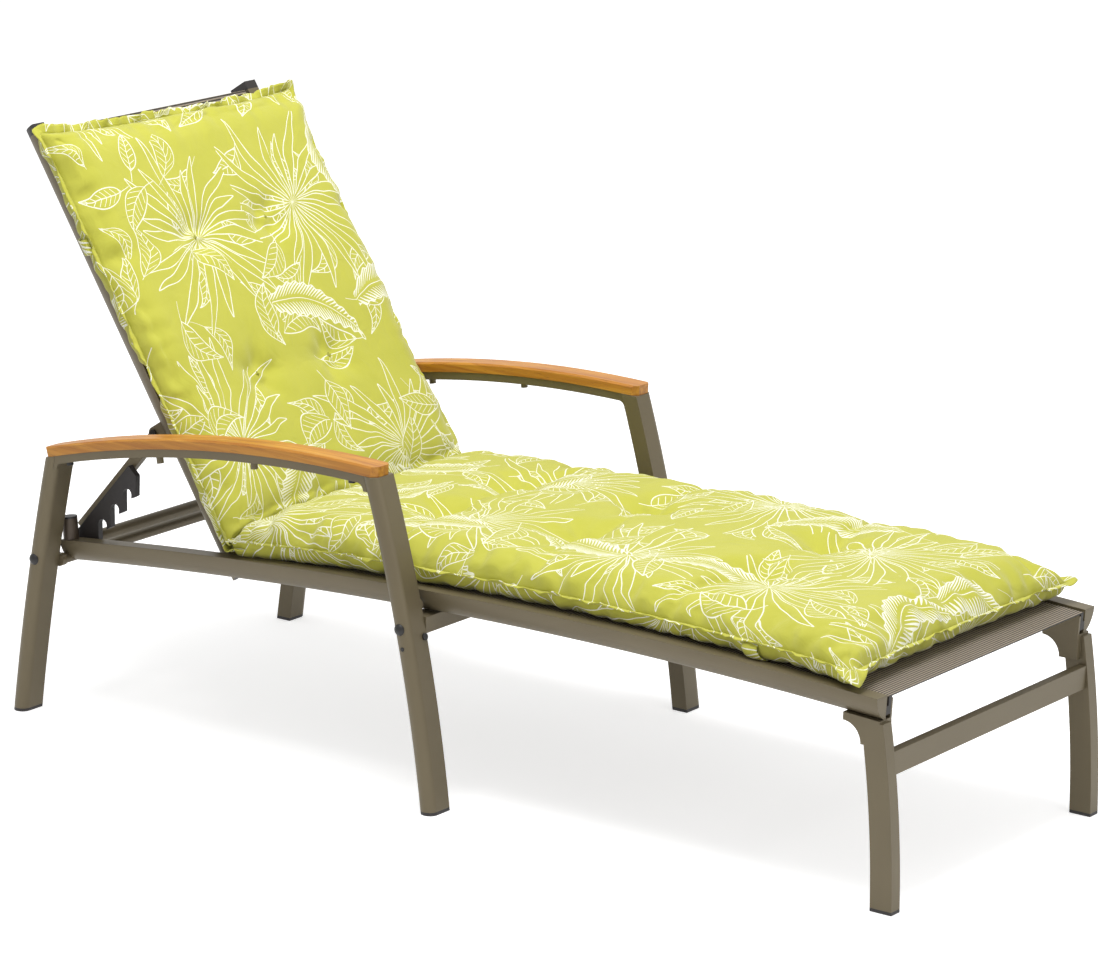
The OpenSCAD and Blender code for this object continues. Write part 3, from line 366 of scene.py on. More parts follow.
def spread_out(tree, chance, width):
    """A random number from 0 to 1 as one from minus half that width to plus half of it."""
    centred = add(tree, "Math SUBTRACT", (chance, 0.5))
    return add(tree, "Math MULTIPLY", (centred, width))


def outline(tree, on, side, width, line):
    """(rim, inside) of a shape, from the distance to its axis and its half width there."""
    within = add(tree, "Math LESS_THAN", (side, width))
    to_rim = add(tree, "Math SUBTRACT", (side, width))
    return both(tree, on, near(tree, to_rim, line)), both(tree, on, within)


print("lines are", 2 * LINE * 1000, "mm wide")

# %% [markdown]
# A leaf is drawn along its own x axis, with t running from -1 at its foot to 1 at its tip. Its half width
# is a parabola that leans to the foot. The midrib bends at random. A frond has teeth on its rim and veins
# that swell outward into a dense hatching.

# %% A veined leaf and a hatched frond
MIDRIB_BEND = 1.6
TIP_TAPER = -0.45
TOOTH = 0.0022
STEM_FROM, STEM_TO = -1.5, 0.93
VEIN_SLANT = 0.9
VEIN_END = 0.82  # a leaf's veins stop short of its rim
HATCH_START, HATCH_SWELL = 0.25, 0.36


def leaf(tree, flat, spacing, shift, spread, half, wide, share, pitch, dense=False):
    """(lines, inside) of a pointed leaf with a midrib and slanting veins, in a share of the cells."""
    x, y, chance, form = cells(tree, flat, spacing, shift, spread)
    sway = spread_out(tree, form, MIDRIB_BEND / half)
    x_squared = add(tree, "Math MULTIPLY", (x, x))
    y = add(tree, "Math MULTIPLY_ADD", (sway, x_squared, y))
    t = add(tree, "Math DIVIDE", (x, half))
    t_squared = add(tree, "Math MULTIPLY", (t, t))
    belly = add(tree, "Math SUBTRACT", (1.0, t_squared))
    tip = add(tree, "Math MULTIPLY_ADD", (t, TIP_TAPER, 1.0))
    shape = add(tree, "Math MULTIPLY", (belly, tip))
    width = add(tree, "Math MULTIPLY", (shape, wide))
    if dense:
        width = add(tree, "Math MULTIPLY_ADD", (ripple(tree, x, pitch * 3), TOOTH, width))
    side = add(tree, "Math ABSOLUTE", (y,))
    shown = add(tree, "Math LESS_THAN", (chance, share))
    rim, inside = outline(tree, both(tree, shown, near(tree, t, 1.0)), side, width, LINE)
    stem = both(tree, shown, near(tree, y, LINE * 0.8),
                add(tree, "Math LESS_THAN", (t, STEM_TO)),
                add(tree, "Math GREATER_THAN", (t, STEM_FROM)))

    slant = add(tree, "Math MULTIPLY_ADD", (side, -VEIN_SLANT, x))
    ahead = add(tree, "Math ADD", (slant, 1.0))  # so that it is never negative
    count = add(tree, "Math DIVIDE", (ahead, pitch))
    phase = add(tree, "Math FRACT", (count,))
    to_vein = add(tree, "Math SUBTRACT", (phase, 0.5))
    some_width = add(tree, "Math MAXIMUM", (width, 0.001))
    outward = add(tree, "Math DIVIDE", (side, some_width))
    if dense:
        thick = add(tree, "Math MULTIPLY", (outward, HATCH_SWELL))
        drawn = add(tree, "Math GREATER_THAN", (outward, HATCH_START))
    else:
        thick = LINE * 0.75 / pitch
        drawn = add(tree, "Math LESS_THAN", (outward, VEIN_END))
    vein = both(tree, inside, drawn, near(tree, to_vein, thick))
    return either(tree, rim, stem, vein), inside


# %% [markdown]
# A fan is drawn in polar coordinates. The angle tells the number of the blade, and a random number for each
# blade gives it its own length, lean and curve. Close to the middle the blades have no room, so there their
# width and their lines grow with the radius.

# %% A fan of narrow blades
BLADES = 19
FAN_BEND = 3.6
BLADE_LEAN, BLADE_CURVE = 0.4, 0.45  # in steps from blade to blade
BLADE_WIDE = 0.042  # half a blade's width as a share of the fan's radius
ROOT_FROM, ROOT_SHARE = 0.012, 0.36
THIN_START, THIN_GROWTH = 0.22, 26.0


def fan(tree, flat, spacing, shift, spread, reach, share):
    """(lines, inside) of a fan of long closed blades, each with its own length, lean and curve."""
    x, y, chance, form = cells(tree, flat, spacing, shift, spread)
    x_squared = add(tree, "Math MULTIPLY", (x, x))
    r_squared = add(tree, "Math MULTIPLY_ADD", (y, y, x_squared))
    r = add(tree, "Math SQRT", (r_squared,))
    straight = add(tree, "Math ARCTAN2", (y, x))
    angle = add(tree, "Math MULTIPLY_ADD", (spread_out(tree, form, FAN_BEND), r, straight))
    step = 2 * math.pi / BLADES
    steps = add(tree, "Math DIVIDE", (angle, step))
    blade = add(tree, "Math ROUND", (steps,))
    jump = add(tree, "Math MULTIPLY", (form, 97.0))
    seed = add(tree, "Math ADD", (blade, jump))
    own = add(tree, "TexWhiteNoise", {"W": seed}, noise_dimensions="1D")
    odd = add(tree, "SeparateColor", (own.outputs["Color"],)).outputs

    length_share = add(tree, "Math MULTIPLY_ADD", (odd[0], 0.5, 0.5))
    length = add(tree, "Math MULTIPLY", (length_share, reach))
    along = add(tree, "Math DIVIDE", (r, length))
    along_squared = add(tree, "Math MULTIPLY", (along, along))
    curve = add(tree, "Math MULTIPLY", (spread_out(tree, odd[2], BLADE_CURVE), along_squared))
    lean = add(tree, "Math ADD", (spread_out(tree, odd[1], BLADE_LEAN), curve))
    axis = add(tree, "Math ADD", (blade, lean))
    from_axis = add(tree, "Math MULTIPLY_ADD", (axis, -step, angle))
    off = add(tree, "Math MULTIPLY", (from_axis, r))
    side = add(tree, "Math ABSOLUTE", (off,))

    run = add(tree, "Math MINIMUM", (along, 1.0))
    half_turn = add(tree, "Math MULTIPLY", (run, math.pi))
    swell = add(tree, "Math SINE", (half_turn,))
    full = add(tree, "Math POWER", (swell, 0.8))
    body = add(tree, "Math MULTIPLY", (full, reach * BLADE_WIDE))
    from_root = add(tree, "Math SUBTRACT", (r, ROOT_FROM))
    room = add(tree, "Math MAXIMUM", (from_root, 0.0))
    root = add(tree, "Math MULTIPLY", (room, step * ROOT_SHARE))
    width = add(tree, "Math MINIMUM", (body, root))
    growth = add(tree, "Math MULTIPLY_ADD", (r, THIN_GROWTH, THIN_START))
    fineness = add(tree, "Math MINIMUM", (growth, 1.0))
    thin = add(tree, "Math MULTIPLY", (fineness, LINE * 0.9))

    on = both(tree, add(tree, "Math LESS_THAN", (chance, share)),
              add(tree, "Math LESS_THAN", (along, 1.0)))
    return outline(tree, on, side, width, thin)


# %% [markdown]
# The drawings lie one in front of another: hatched fronds first, then veined leaves, fans, and small leaves
# at the very back. A slow noise shakes the coordinates, as an unsteady hand would. The threads of real
# cotton, about 0.4 mm apart, are too fine to show, so they are drawn 0.9 mm apart. A larger noise gives the
# soft creases of washed cloth, and a sheen lifts the cloth at grazing angles.

# %% Cotton with the print
THREAD = 0.0009
HAND_SHAKE = 0.018


def printed_cotton(name, lime, deep):
    made, tree, shader = material(name, Metallic=0.0, Roughness=0.85, IOR=1.5, Sheen_Weight=0.25,
                                  Sheen_Roughness=0.5)
    flat = add(tree, "UVMap", uv_map="flat")
    shaky = add(tree, "TexNoise", {"Vector": flat, "Scale": 13.0, "Detail": 0.6}, noise_dimensions="2D")
    nudge = add(tree, "VectorMath SUBTRACT", (shaky.outputs["Color"], (0.5, 0.5, 0.5)))
    nudge = add(tree, "VectorMath SCALE", {0: nudge, "Scale": HAND_SHAKE})
    hand = add(tree, "VectorMath ADD", (flat, nudge))

    layers = [
        leaf(tree, hand, spacing=0.25, shift=3.1, spread=0.75, half=0.108, wide=0.029, share=0.7,
             pitch=0.0066, dense=True),
        leaf(tree, hand, spacing=0.135, shift=7.7, spread=0.8, half=0.045, wide=0.021, share=0.7,
             pitch=0.0120),
        fan(tree, hand, spacing=0.31, shift=1.9, spread=0.55, reach=0.205, share=1.0),
        leaf(tree, hand, spacing=0.10, shift=9.2, spread=0.9, half=0.040, wide=0.015, share=1.0,
             pitch=0.0110),
    ]
    drawn = layers[-1][0]
    for lines, inside in reversed(layers[:-1]):
        bare = add(tree, "Math SUBTRACT", (1.0, inside))
        drawn = either(tree, lines, both(tree, drawn, bare))

    cloud = add(tree, "TexNoise", {"Vector": flat, "Scale": 14.0, "Detail": 3.0})
    ground = add(tree, "Mix", {FACTOR: cloud, COLOUR_A: colour(deep), COLOUR_B: colour(lime)},
                 data_type="RGBA").outputs[COLOUR_OUT]
    paint(tree, shader, drawn, ground, colour("eeeedb"))

    axes = add(tree, "SeparateXYZ", (flat,)).outputs
    warp, weft = ripple(tree, axes["X"], THREAD), ripple(tree, axes["Y"], THREAD)
    weave = add(tree, "Math ADD", (warp, weft))
    crumple = add(tree, "TexNoise", {"Vector": flat, "Scale": 26.0, "Detail": 4.0, "Distortion": 0.8})
    thread = add(tree, "Bump", {"Strength": 0.2, "Distance": 0.0002, "Height": weave})
    crease = add(tree, "Bump", {"Strength": 0.35, "Distance": 0.006, "Height": crumple, "Normal": thread})
    tree.links.new(crease.outputs[0], shader.inputs["Normal"])
    return made


cotton = printed_cotton("printed lime cotton", "c0be47", "b3b339")
print(cotton.name, "uses", len(cotton.node_tree.nodes), "nodes")

# %% [markdown]
# ## The pad
#
# Each half is two panels of cotton sewn together along the edge, with a grid of points on each. The sizes
# come from the picture: 578 and 592 mm wide, crowns of 66 and 73 mm, and a seam 28 mm above the sling.
# Rows of two tufts pull the top panel down, and creases run out from each tuft like a star. Small puckers
# stand square to the seam. The back's underside is shallower beside the guide posts and over the side
# rails, so that it clears them when the back lies flat.

# %% The two panels of a pad as a grid
SEAT_PAD = dict(start=0.027, stop=1.168, skew=0.0, wide=0.578, aside=0.0, waist=0.015, crown=0.066,
                round=0.058, rows=(0.288, 0.548, 0.871))
BACK_PAD = dict(start=0.029, stop=0.731, skew=0.010, wide=0.592, aside=0.006, waist=0.004, crown=0.073,
                round=0.050, rows=(0.265, 0.508), post_at=0.305)
CELL = 0.0075  # distance between the points of the grid
SEAM = 0.028  # height of the seam over the sling
END_PULL = 0.010
TOP_ROUND, HINGE_ROUND = 0.058, 0.080
UNDER_ROUND, UNDER_TIGHTER, UNDER_FADE = 0.030, 0.012, 0.12
TUFT_GAP = 0.172
TUFT_DEEP, TUFT_WIDE = 0.019, 0.032
ROW_DEEP, ROW_WIDE = 0.0020, 0.034
STAR_DEEP, STAR_WIDE, STAR_FROM, STAR_POINTS = 0.0040, 0.055, 0.02, 5
BOWL_DEEP, BOWL_WIDE = 0.0022, 0.10
PUCKER_TOP, PUCKER_UNDER, PUCKER_ASIDE, PUCKER_AHEAD = 0.0095, 0.005, 0.0110, 0.0080
PUCKER_SIZE, PUCKER_START, PUCKER_FADE = 0.021, 0.008, 0.030
POST_CLEAR, POST_IN, POST_FADE, POST_LONG = 0.027, 0.062, 0.030, 0.036
RAIL_CLEAR, RAIL_IN, RAIL_FADE, RAIL_LONG = 0.008, 0.048, 0.014, 0.13


def quarter(d, reach):
    """Quarter-round rise from 0 at the seam to 1 at that reach."""
    return np.sqrt(1 - (1 - np.clip(d / reach, 0, 1)) ** 2)


def bell(d, width, power=2):
    """A smooth bump from 1 at a distance of zero to 0 far away."""
    return np.exp(-((d / width) ** power))


def gathers(place, far, seed):
    """Small ridges square to the seam, which fade out over the panel."""
    points = [Vector((p / PUCKER_SIZE, seed, 0.5)) for p in place.reshape(-1)]
    line = np.array([noise.noise(point) for point in points]).reshape(place.shape)
    return line * np.exp(-far / PUCKER_FADE) * np.clip(far / PUCKER_START, 0, 1)


def tuft_marks(rows):
    """The number and place of its row, and the side, for each tuft."""
    return [(i, r, s) for i, r in enumerate(rows) for s in (-1, 1)]


def panel_heights(shape, x_share, y_share, seed):
    """The grid's places along and across, the heights of both panels over the sling, how far the puckers
    push the edge ahead and aside, and how much of the underside's relief applies."""
    a, b = np.meshgrid(x_share, y_share, indexing="ij")
    start, stop, rows = shape["start"], shape["stop"] - shape["skew"] * b, shape["rows"]
    pull = END_PULL * (1 - (2 * b - 1) ** 4)
    x = start + pull + (stop - start - 2 * pull) * a
    half = shape["wide"] / 2 - shape["waist"] * (1 - (2 * a - 1) ** 6)
    y = shape["aside"] + half * (2 * b - 1)
    end = np.minimum(a, 1 - a) * (stop - start)
    side = half * (1 - np.abs(2 * b - 1))
    at_side, at_hinge = side < end, a < 0.5

    sink = sum(ROW_DEEP * bell(x - r, ROW_WIDE) for r in rows)
    for i, r, s in tuft_marks(rows):
        along, across = x - r, y - s * TUFT_GAP / 2
        far = np.hypot(along, across)
        star = np.cos(STAR_POINTS * np.arctan2(across, along) + 1.7 * i + s) * np.clip(far / STAR_FROM, 0, 1)
        sink = sink + TUFT_DEEP * bell(far, TUFT_WIDE)
        sink = sink + STAR_DEEP * star * bell(far, STAR_WIDE) + BOWL_DEEP * bell(far, BOWL_WIDE)

    rise = quarter(end, np.where(at_hinge, HINGE_ROUND, TOP_ROUND)) * quarter(side, shape["round"])
    pucker = np.where(at_side, gathers(x, side, seed), gathers(y, end, seed + 4.0))
    top = SEAM + (shape["crown"] - SEAM - sink) * rise + PUCKER_TOP * pucker
    inward = np.minimum(side, np.where(at_hinge, 3 * end, end))
    under = SEAM * (1 - quarter(inward, UNDER_ROUND - UNDER_TIGHTER * bell(x - start, UNDER_FADE)))
    pucker_under = np.where(at_side, gathers(x, side, seed + 8.0), gathers(y, end, seed + 9.0))
    under = under - PUCKER_UNDER * pucker_under

    relief = np.zeros_like(x)
    if "post_at" in shape:
        over_post = np.clip((POST_IN - side) / POST_FADE, 0, 1) * bell(x - shape["post_at"], POST_LONG, 4)
        over_rail = np.clip((RAIL_IN - side) / RAIL_FADE, 0, 1) * np.exp(-(x - start) / RAIL_LONG)
        relief = np.maximum(over_post, over_rail)
        under = np.maximum(under, np.maximum(POST_CLEAR * over_post, RAIL_CLEAR * over_rail))
    aside = np.where(at_side, np.sign(2 * b - 1), 0) * pucker * PUCKER_ASIDE
    ahead = np.where(at_side, 0, np.sign(2 * a - 1)) * pucker * PUCKER_AHEAD
    return x, y, top, np.clip(under, 0, SEAM), ahead, aside, relief


def evened(count, ends=0.35):
    """Shares from 0 to 1 that lie closer together near both ends."""
    t = np.linspace(0, 1, count + 1)
    return (1 - ends) * t + ends * (0.5 - 0.5 * np.cos(np.pi * t))


def path_length(points, axis):
    """Distance along the cloth from the middle, along one axis of the grid."""
    steps = np.linalg.norm(np.diff(points, axis=axis), axis=2)
    total = np.concatenate([np.zeros_like(steps.take([0], axis)), np.cumsum(steps, axis)], axis)
    return total - total.take([total.shape[axis] // 2], axis)


print("the top has risen half way in by", round(float(quarter(TOP_ROUND / 2, TOP_ROUND)), 2), "of its height")

# %% [markdown]
# The grid of the top and that of the underside share the points of the rim, so the mesh is closed. Its UV
# map holds the flat cloth in metres: the distances along the surface, which the print and threads follow.

# %% Sew the panels into one closed mesh
RIM_CREASE = 0.8
UNDER_FOLLOWS = -0.6  # the share of the edge's puckers that the underside takes, the other way
UNDER_CLOTH = 1.7  # how far the underside's piece of cloth lies from the top's


def smooth_object(name, verts, faces, look):
    """A mesh object with smooth shading and one material."""
    mesh = bpy.data.meshes.new(name)
    mesh.from_pydata(verts, [], faces)
    mesh.polygons.foreach_set("use_smooth", np.ones(len(mesh.polygons), bool))
    mesh.materials.append(look)
    return linked(name, mesh)


def set_flat(mesh, places):
    """The flat cloth, a place for each corner of each face, as the mesh's UV map."""
    layer = mesh.uv_layers.new(name="flat")
    layer.data.foreach_set("uv", places.reshape(-1).astype(np.float32))


def quads(grid):
    """The four corners of every cell of a grid, in order."""
    return np.stack([grid[:-1, :-1], grid[1:, :-1], grid[1:, 1:], grid[:-1, 1:]], 2)


def sewn_pad(name, shape, to_frame, shift):
    count_x = round((shape["stop"] - shape["start"]) / CELL)
    count_y = round(shape["wide"] / CELL)
    x, y, top, under, ahead, aside, relief = panel_heights(shape, evened(count_x), evened(count_y), shift)
    upper = to_frame(x + ahead, y + aside, top)
    lower = to_frame(x + UNDER_FOLLOWS * ahead, y + UNDER_FOLLOWS * aside, under)
    rim = np.zeros((count_x + 1, count_y + 1), bool)
    rim[[0, -1], :] = True
    rim[:, [0, -1]] = True

    index_up = np.arange(rim.size).reshape(rim.shape)
    index_low = index_up.copy()
    index_low[~rim] = index_up.size + np.arange((~rim).sum())
    verts = np.concatenate([upper.reshape(-1, 3), lower[~rim]])
    flat_up = np.stack([path_length(upper, 0), path_length(upper, 1)], -1) + shift
    flat_low = np.stack([path_length(lower, 0), -path_length(lower, 1)], -1) + shift + UNDER_CLOTH

    faces, places = [], []
    for index, flat, turn in ((index_up, flat_up, 1), (index_low, flat_low, -1)):
        faces.append(quads(index).reshape(-1, 4)[:, ::turn])
        places.append(quads(flat).reshape(-1, 4, 2)[:, ::turn])
    pad = smooth_object(name, verts.tolist(), np.concatenate(faces).tolist(), cotton)
    mesh = pad.data
    set_flat(mesh, np.concatenate(places))

    crisp = mesh.attributes.new("crease_edge", "FLOAT", "EDGE")
    at_rim = np.zeros(len(mesh.vertices), bool)
    at_rim[index_up[rim]] = True
    ends = np.empty(len(mesh.edges) * 2, np.int32)
    mesh.edges.foreach_get("vertices", ends)
    on_rim = at_rim[ends.reshape(-1, 2)].all(axis=1)
    crisp.data.foreach_set("value", (on_rim * RIM_CREASE).astype(np.float32))
    return pad, dict(x=x, y=y, under=under, rim=rim, up=index_up, low=index_low, flat=flat_up,
                     rows=shape["rows"], relief=relief)


print("cells of the grid are about", CELL * 1000, "mm wide")

# %% [markdown]
# Filling the pad: the tufts, the seam and the part that lies on the sling are held, and air pressure pushes
# the rest out for a few frames. The cloth is a little larger than its shape, so it puckers. No point moves
# more than 10 mm from where the panels put it.

# %% Inflate the cloth
CLOTH = dict(vertex_group_mass="held", use_pressure=True, uniform_pressure_force=5.0, shrink_min=-0.045,
             quality=5, mass=0.2, tension_stiffness=12, compression_stiffness=12, shear_stiffness=4,
             bending_stiffness=0.15, air_damping=3)
FRAMES = 18
MOST_MOVE = 0.010
ON_SLING = 0.012  # the underside is held less and less up to this height over the sling
RIM_HOLD, RELIEF_HOLD = 0.92, 1.5
TUFT_HELD = 0.009
SHAKE, SHAKES_PER_METRE = 0.0035, 14.0


def points_of(pad):
    """The mesh's points as an array of single floats, one row for each."""
    places = np.empty(len(pad.data.vertices) * 3, np.float32)
    pad.data.vertices.foreach_get("co", places)
    return places.reshape(-1, 3)


def tuft_far_squared(grid, r, s):
    """The squared distance of the grid's points from a tuft."""
    return (grid["x"] - r) ** 2 + (grid["y"] - s * TUFT_GAP / 2) ** 2


def inflate(pad, grid, sling_out):
    mesh = pad.data
    before = points_of(pad)
    hold = np.zeros(len(mesh.vertices))
    flat_on_sling = 1.0 - grid["under"] / ON_SLING
    hold_low = np.clip(np.maximum(flat_on_sling, RELIEF_HOLD * grid["relief"]), 0, 1)
    hold[grid["low"].reshape(-1)] = hold_low.reshape(-1)
    hold[grid["up"][grid["rim"]]] = RIM_HOLD
    for _, r, s in tuft_marks(grid["rows"]):
        hold[grid["up"][tuft_far_squared(grid, r, s) < TUFT_HELD**2]] = 1.0

    shake = np.array([noise.noise(Vector(p) * SHAKES_PER_METRE) for p in before])
    moved = before + np.outer(shake * (1 - hold) * SHAKE, sling_out).astype(np.float32)
    mesh.vertices.foreach_set("co", moved.reshape(-1))

    group = pad.vertex_groups.new(name="held")
    for level in np.unique(np.round(hold, 2)):
        chosen = np.nonzero(np.round(hold, 2) == level)[0]
        if level > 0:
            group.add(chosen.tolist(), float(level), "REPLACE")
    cloth = pad.modifiers.new("cloth", "CLOTH")
    for key, value in CLOTH.items():
        setattr(cloth.settings, key, value)
    cloth.settings.effector_weights.gravity = 0
    cloth.point_cache.frame_start, cloth.point_cache.frame_end = 1, FRAMES
    for step in range(1, FRAMES + 1):
        bpy.context.scene.frame_set(step)
    after = points_of(pad.evaluated_get(bpy.context.evaluated_depsgraph_get()))
    pad.modifiers.remove(cloth)
    move = after - before
    far = np.linalg.norm(move, axis=1, keepdims=True)
    move *= np.minimum(1, MOST_MOVE / np.maximum(far, 1e-9))
    mesh.vertices.foreach_set("co", (before + move).reshape(-1))
    mesh.update()
    bpy.context.scene.frame_set(1)
    print(pad.name, "wanted to move at most", round(float(far.max()) * 1000, 1), "mm")


def smooth_once(pad):
    pad.modifiers.new("smooth", "SUBSURF").levels = 1
    bpy.context.view_layer.objects.active = pad
    pad.select_set(True)
    bpy.ops.object.modifier_apply(modifier="smooth")
    pad.select_set(False)


print("the cloth is filled for", FRAMES, "frames")

# %% [markdown]
# The seat's sling is an arc of a very large circle and the back's is flat. Both pads are described by the
# distance along the sling from the hinge, the distance across it and the height over it.

# %% Lay the pads on their slings
SLING_CENTRE_X, SLING_CENTRE_Z = 0.665511 + HINGE_X, -8.803696
SLING_RADIUS = 9.1336
SEAT_GAP, BACK_GAP = 0.0005, 0.0002  # between sling and pad
BACK_LIFT = 0.0159  # from the hinge's axis to the sling's surface
SEAT_OUT = (0, 0, 1)
SEAT_CLOTH, BACK_CLOTH = 0.0, 4.3  # where each pad's piece lies on the printed cloth


def on_seat(x, y, h):
    frame_x = x + HINGE_X
    sling = SLING_CENTRE_Z + np.sqrt(SLING_RADIUS**2 - (frame_x - SLING_CENTRE_X) ** 2)
    return np.stack([frame_x, y, sling + SEAT_GAP + h], -1)


def on_back(s, y, h):
    rise = h + BACK_LIFT + BACK_GAP
    x = HINGE.x + s * BACK_UP.x + rise * BACK_OUT.x
    z = HINGE.z + s * BACK_UP.z + rise * BACK_OUT.z
    return np.stack([x, y, z], -1)


seat_pad, seat_grid = sewn_pad("seat_pad", SEAT_PAD, on_seat, SEAT_CLOTH)
inflate(seat_pad, seat_grid, SEAT_OUT)
back_pad, back_grid = sewn_pad("back_pad", BACK_PAD, on_back, BACK_CLOTH)
inflate(back_pad, back_grid, BACK_OUT)
print("seat pad points:", len(seat_pad.data.vertices), "back pad points:", len(back_pad.data.vertices))

# %% [markdown]
# ## The sewn edge
#
# The panels meet in a flat seam allowance that stands out all round: about 6 mm wide, and twice that at the
# back's top. It waves a little, and it ends in a pointed ear at the corners away from the hinge.

# %% Sweep closed rings into a mesh, with flat cloth places as its UV map
def unit(v):
    return v / np.maximum(np.linalg.norm(v, axis=-1, keepdims=True), 1e-9)


def between(here, ahead):
    """The faces between each ring of points and the next one."""
    sides = np.stack([here, np.roll(here, -1, 1), np.roll(ahead, -1, 1), ahead], -1)
    return sides.reshape(-1, 4).tolist()


def swept(name, rings, flat, look, closed=False):
    """rings and flat are (count, around, 3) and (count, around, 2); an open sweep gets end faces."""
    count, around = rings.shape[:2]
    index = np.arange(count * around).reshape(count, around)
    here = index if closed else index[:-1]
    ahead = np.roll(index, -1, 0) if closed else index[1:]
    faces = between(here, ahead)
    if not closed:
        faces += [index[0, ::-1].tolist(), index[-1].tolist()]
    made = smooth_object(name, rings.reshape(-1, 3).tolist(), faces, look)
    corner = np.empty(len(made.data.loops), np.int32)
    made.data.loops.foreach_get("vertex_index", corner)
    set_flat(made.data, flat.reshape(-1, 2)[corner])
    return made


def waves(place, size, seed):
    """Smooth noise from about -1 to 1 along a line, one value for each place."""
    return np.array([noise.noise(Vector((p / size, seed, 0.37 * seed))) for p in place]) * 1.6


# %% [markdown]
# The strip's section is a flat lens: shares of the way out from the seam, or metres where it reaches into
# the pad, and heights over its middle. At each point of the rim it is turned up or down by a tilt, pulled
# out into the ears and laid in waves.

# %% The seam allowance round a pad
SECTION = ((-0.004, 0.0011), (0.25, 0.0013), (0.7, 0.0011), (1.0, 0.0006),
           (1.0, -0.0006), (0.7, -0.0011), (0.25, -0.0013), (-0.004, -0.0011))
RING_STEP = 0.0042
EAR_REACH, EAR_POWER, EAR_TURN, EAR_CALM = 0.034, 1.2, 1.5, 0.6
ACROSS = 0.7  # an edge that points this much across the pad belongs to an end
SMOOTHINGS = 6
WIDTH_WAVE, WIDTH_WAVE_LONG = 0.20, 0.040
TILT_WAVE, TILT_WAVE_LONG = 0.70, 0.028
EDGE_RIPPLE, EDGE_RIPPLE_LONG = 0.35, 0.011


def round_rim(grid):
    """The grid's values along its rim: hinge right, far right, far left, hinge left and back."""
    return np.concatenate([grid[:-1, 0], grid[-1, :-1], grid[:0:-1, -1], grid[0, :0:-1]])


def span(line, one, other):
    """The sum of each point's distances to two corners."""
    return np.linalg.norm(line - one, axis=1) + np.linalg.norm(line - other, axis=1)


def seam_edge(name, pad, grid, out, width, end_width, ears, droops, lift, seed):
    """A flat closed strip along the pad's rim, made after the cloth has moved.

    ears and droops are for the corners: hinge right, far end right, far end left, hinge left."""
    co = points_of(pad).astype(float)
    index, flat = grid["up"], grid["flat"]
    line = co[round_rim(index)]
    cloth = np.stack([round_rim(flat[..., 0]), round_rim(flat[..., 1])], -1)
    long, broad = index.shape
    corners = line[[0, long - 1, long + broad - 2, 2 * long + broad - 3]]

    step = np.linalg.norm(np.roll(line, -1, 0) - line, axis=1)
    run = np.concatenate([[0], np.cumsum(step)])
    spots = np.linspace(0, run[-1], int(run[-1] / RING_STEP), endpoint=False)
    line, cloth = [
        np.stack([np.interp(spots, run, np.append(column, column[0])) for column in values.T], -1)
        for values in (line, cloth)
    ]
    out = unit(np.array(out, float))
    ahead = unit(np.roll(line, -2, 0) - np.roll(line, 2, 0))
    side = unit(np.cross(ahead, out))
    centre = line.mean(0)
    side *= np.sign(np.sum(side * (line - centre), axis=1)).mean()
    flat_ahead = unit(np.roll(cloth, -2, 0) - np.roll(cloth, 2, 0))
    flat_side = np.stack([flat_ahead[:, 1], -flat_ahead[:, 0]], -1)

    pulls = [np.clip(1 - np.linalg.norm(line - c, axis=1) / EAR_REACH, 0, 1) for c in corners]
    pull = np.max(pulls, axis=0)
    for c, k in zip(corners, pulls):
        diagonal = unit(c - centre - out * np.dot(c - centre, out))
        side = unit(side + (k**EAR_POWER * EAR_TURN)[:, None] * diagonal)
    along_end = np.abs(ahead[:, 1]) > ACROSS
    nearer_far_end = span(line, corners[1], corners[2]) < span(line, corners[0], corners[3])
    base = np.where(along_end & nearer_far_end, end_width, width)
    for _ in range(SMOOTHINGS):
        base = (np.roll(base, 1) + 2 * base + np.roll(base, -1)) / 4
    base = base * (1 + WIDTH_WAVE * waves(spots, WIDTH_WAVE_LONG, seed))
    wide = base + sum(e * k for e, k in zip(ears, pulls))
    droop = sum(d * k for d, k in zip(droops, pulls))
    tilt = lift + TILT_WAVE * waves(spots, TILT_WAVE_LONG, seed + 3) - droop
    rippled = EDGE_RIPPLE * base * waves(spots, EDGE_RIPPLE_LONG, seed + 5) * (1 - EAR_CALM * pull)

    rings, places = [], []
    for share, thick in SECTION:
        reach = np.where(share > 0, share * wide, share)
        height = np.sin(tilt) * reach + rippled * max(share, 0) + thick
        rings.append(line + side * (np.cos(tilt) * reach)[:, None] + out * height[:, None])
        places.append(cloth + flat_side * reach[:, None])
    made = swept(name, np.stack(rings, 1), np.stack(places, 1), cotton, closed=True)
    made.parent = pad
    return made


seat_edge = seam_edge("seat_seam", seat_pad, seat_grid, SEAT_OUT, width=0.0055, end_width=0.0060,
                      ears=(0.001, 0.018, 0.011, 0.001), droops=(0, 1.2, -0.5, 0), lift=0.20, seed=2.0)
back_edge = seam_edge("back_seam", back_pad, back_grid, BACK_OUT, width=0.0055, end_width=0.0125,
                      ears=(0.001, 0.003, 0.005, 0.001), droops=(0, 0.2, -0.4, 0), lift=0.42, seed=7.0)
print("seam points:", len(seat_edge.data.vertices), len(back_edge.data.vertices))

# %% [markdown]
# ## Tufts, ties and the fold
#
# A stitch of thick thread holds each tuft. Cloth ties come out of the side seams and go down between pad
# and rail. At the hinge one strip of cloth joins the two halves. It is made hanging in a fold, as it hangs
# while the back is up; on the real lounger it is pulled nearly flat when the back lies down.

# %% Stitches at the tufts
STITCH, THICK = 0.0045, 0.0009  # half a stitch's length and half its thickness
STITCH_RISE, STITCH_ARCH = 0.0012, 0.002
STATIONS, SIDES = 9, 8


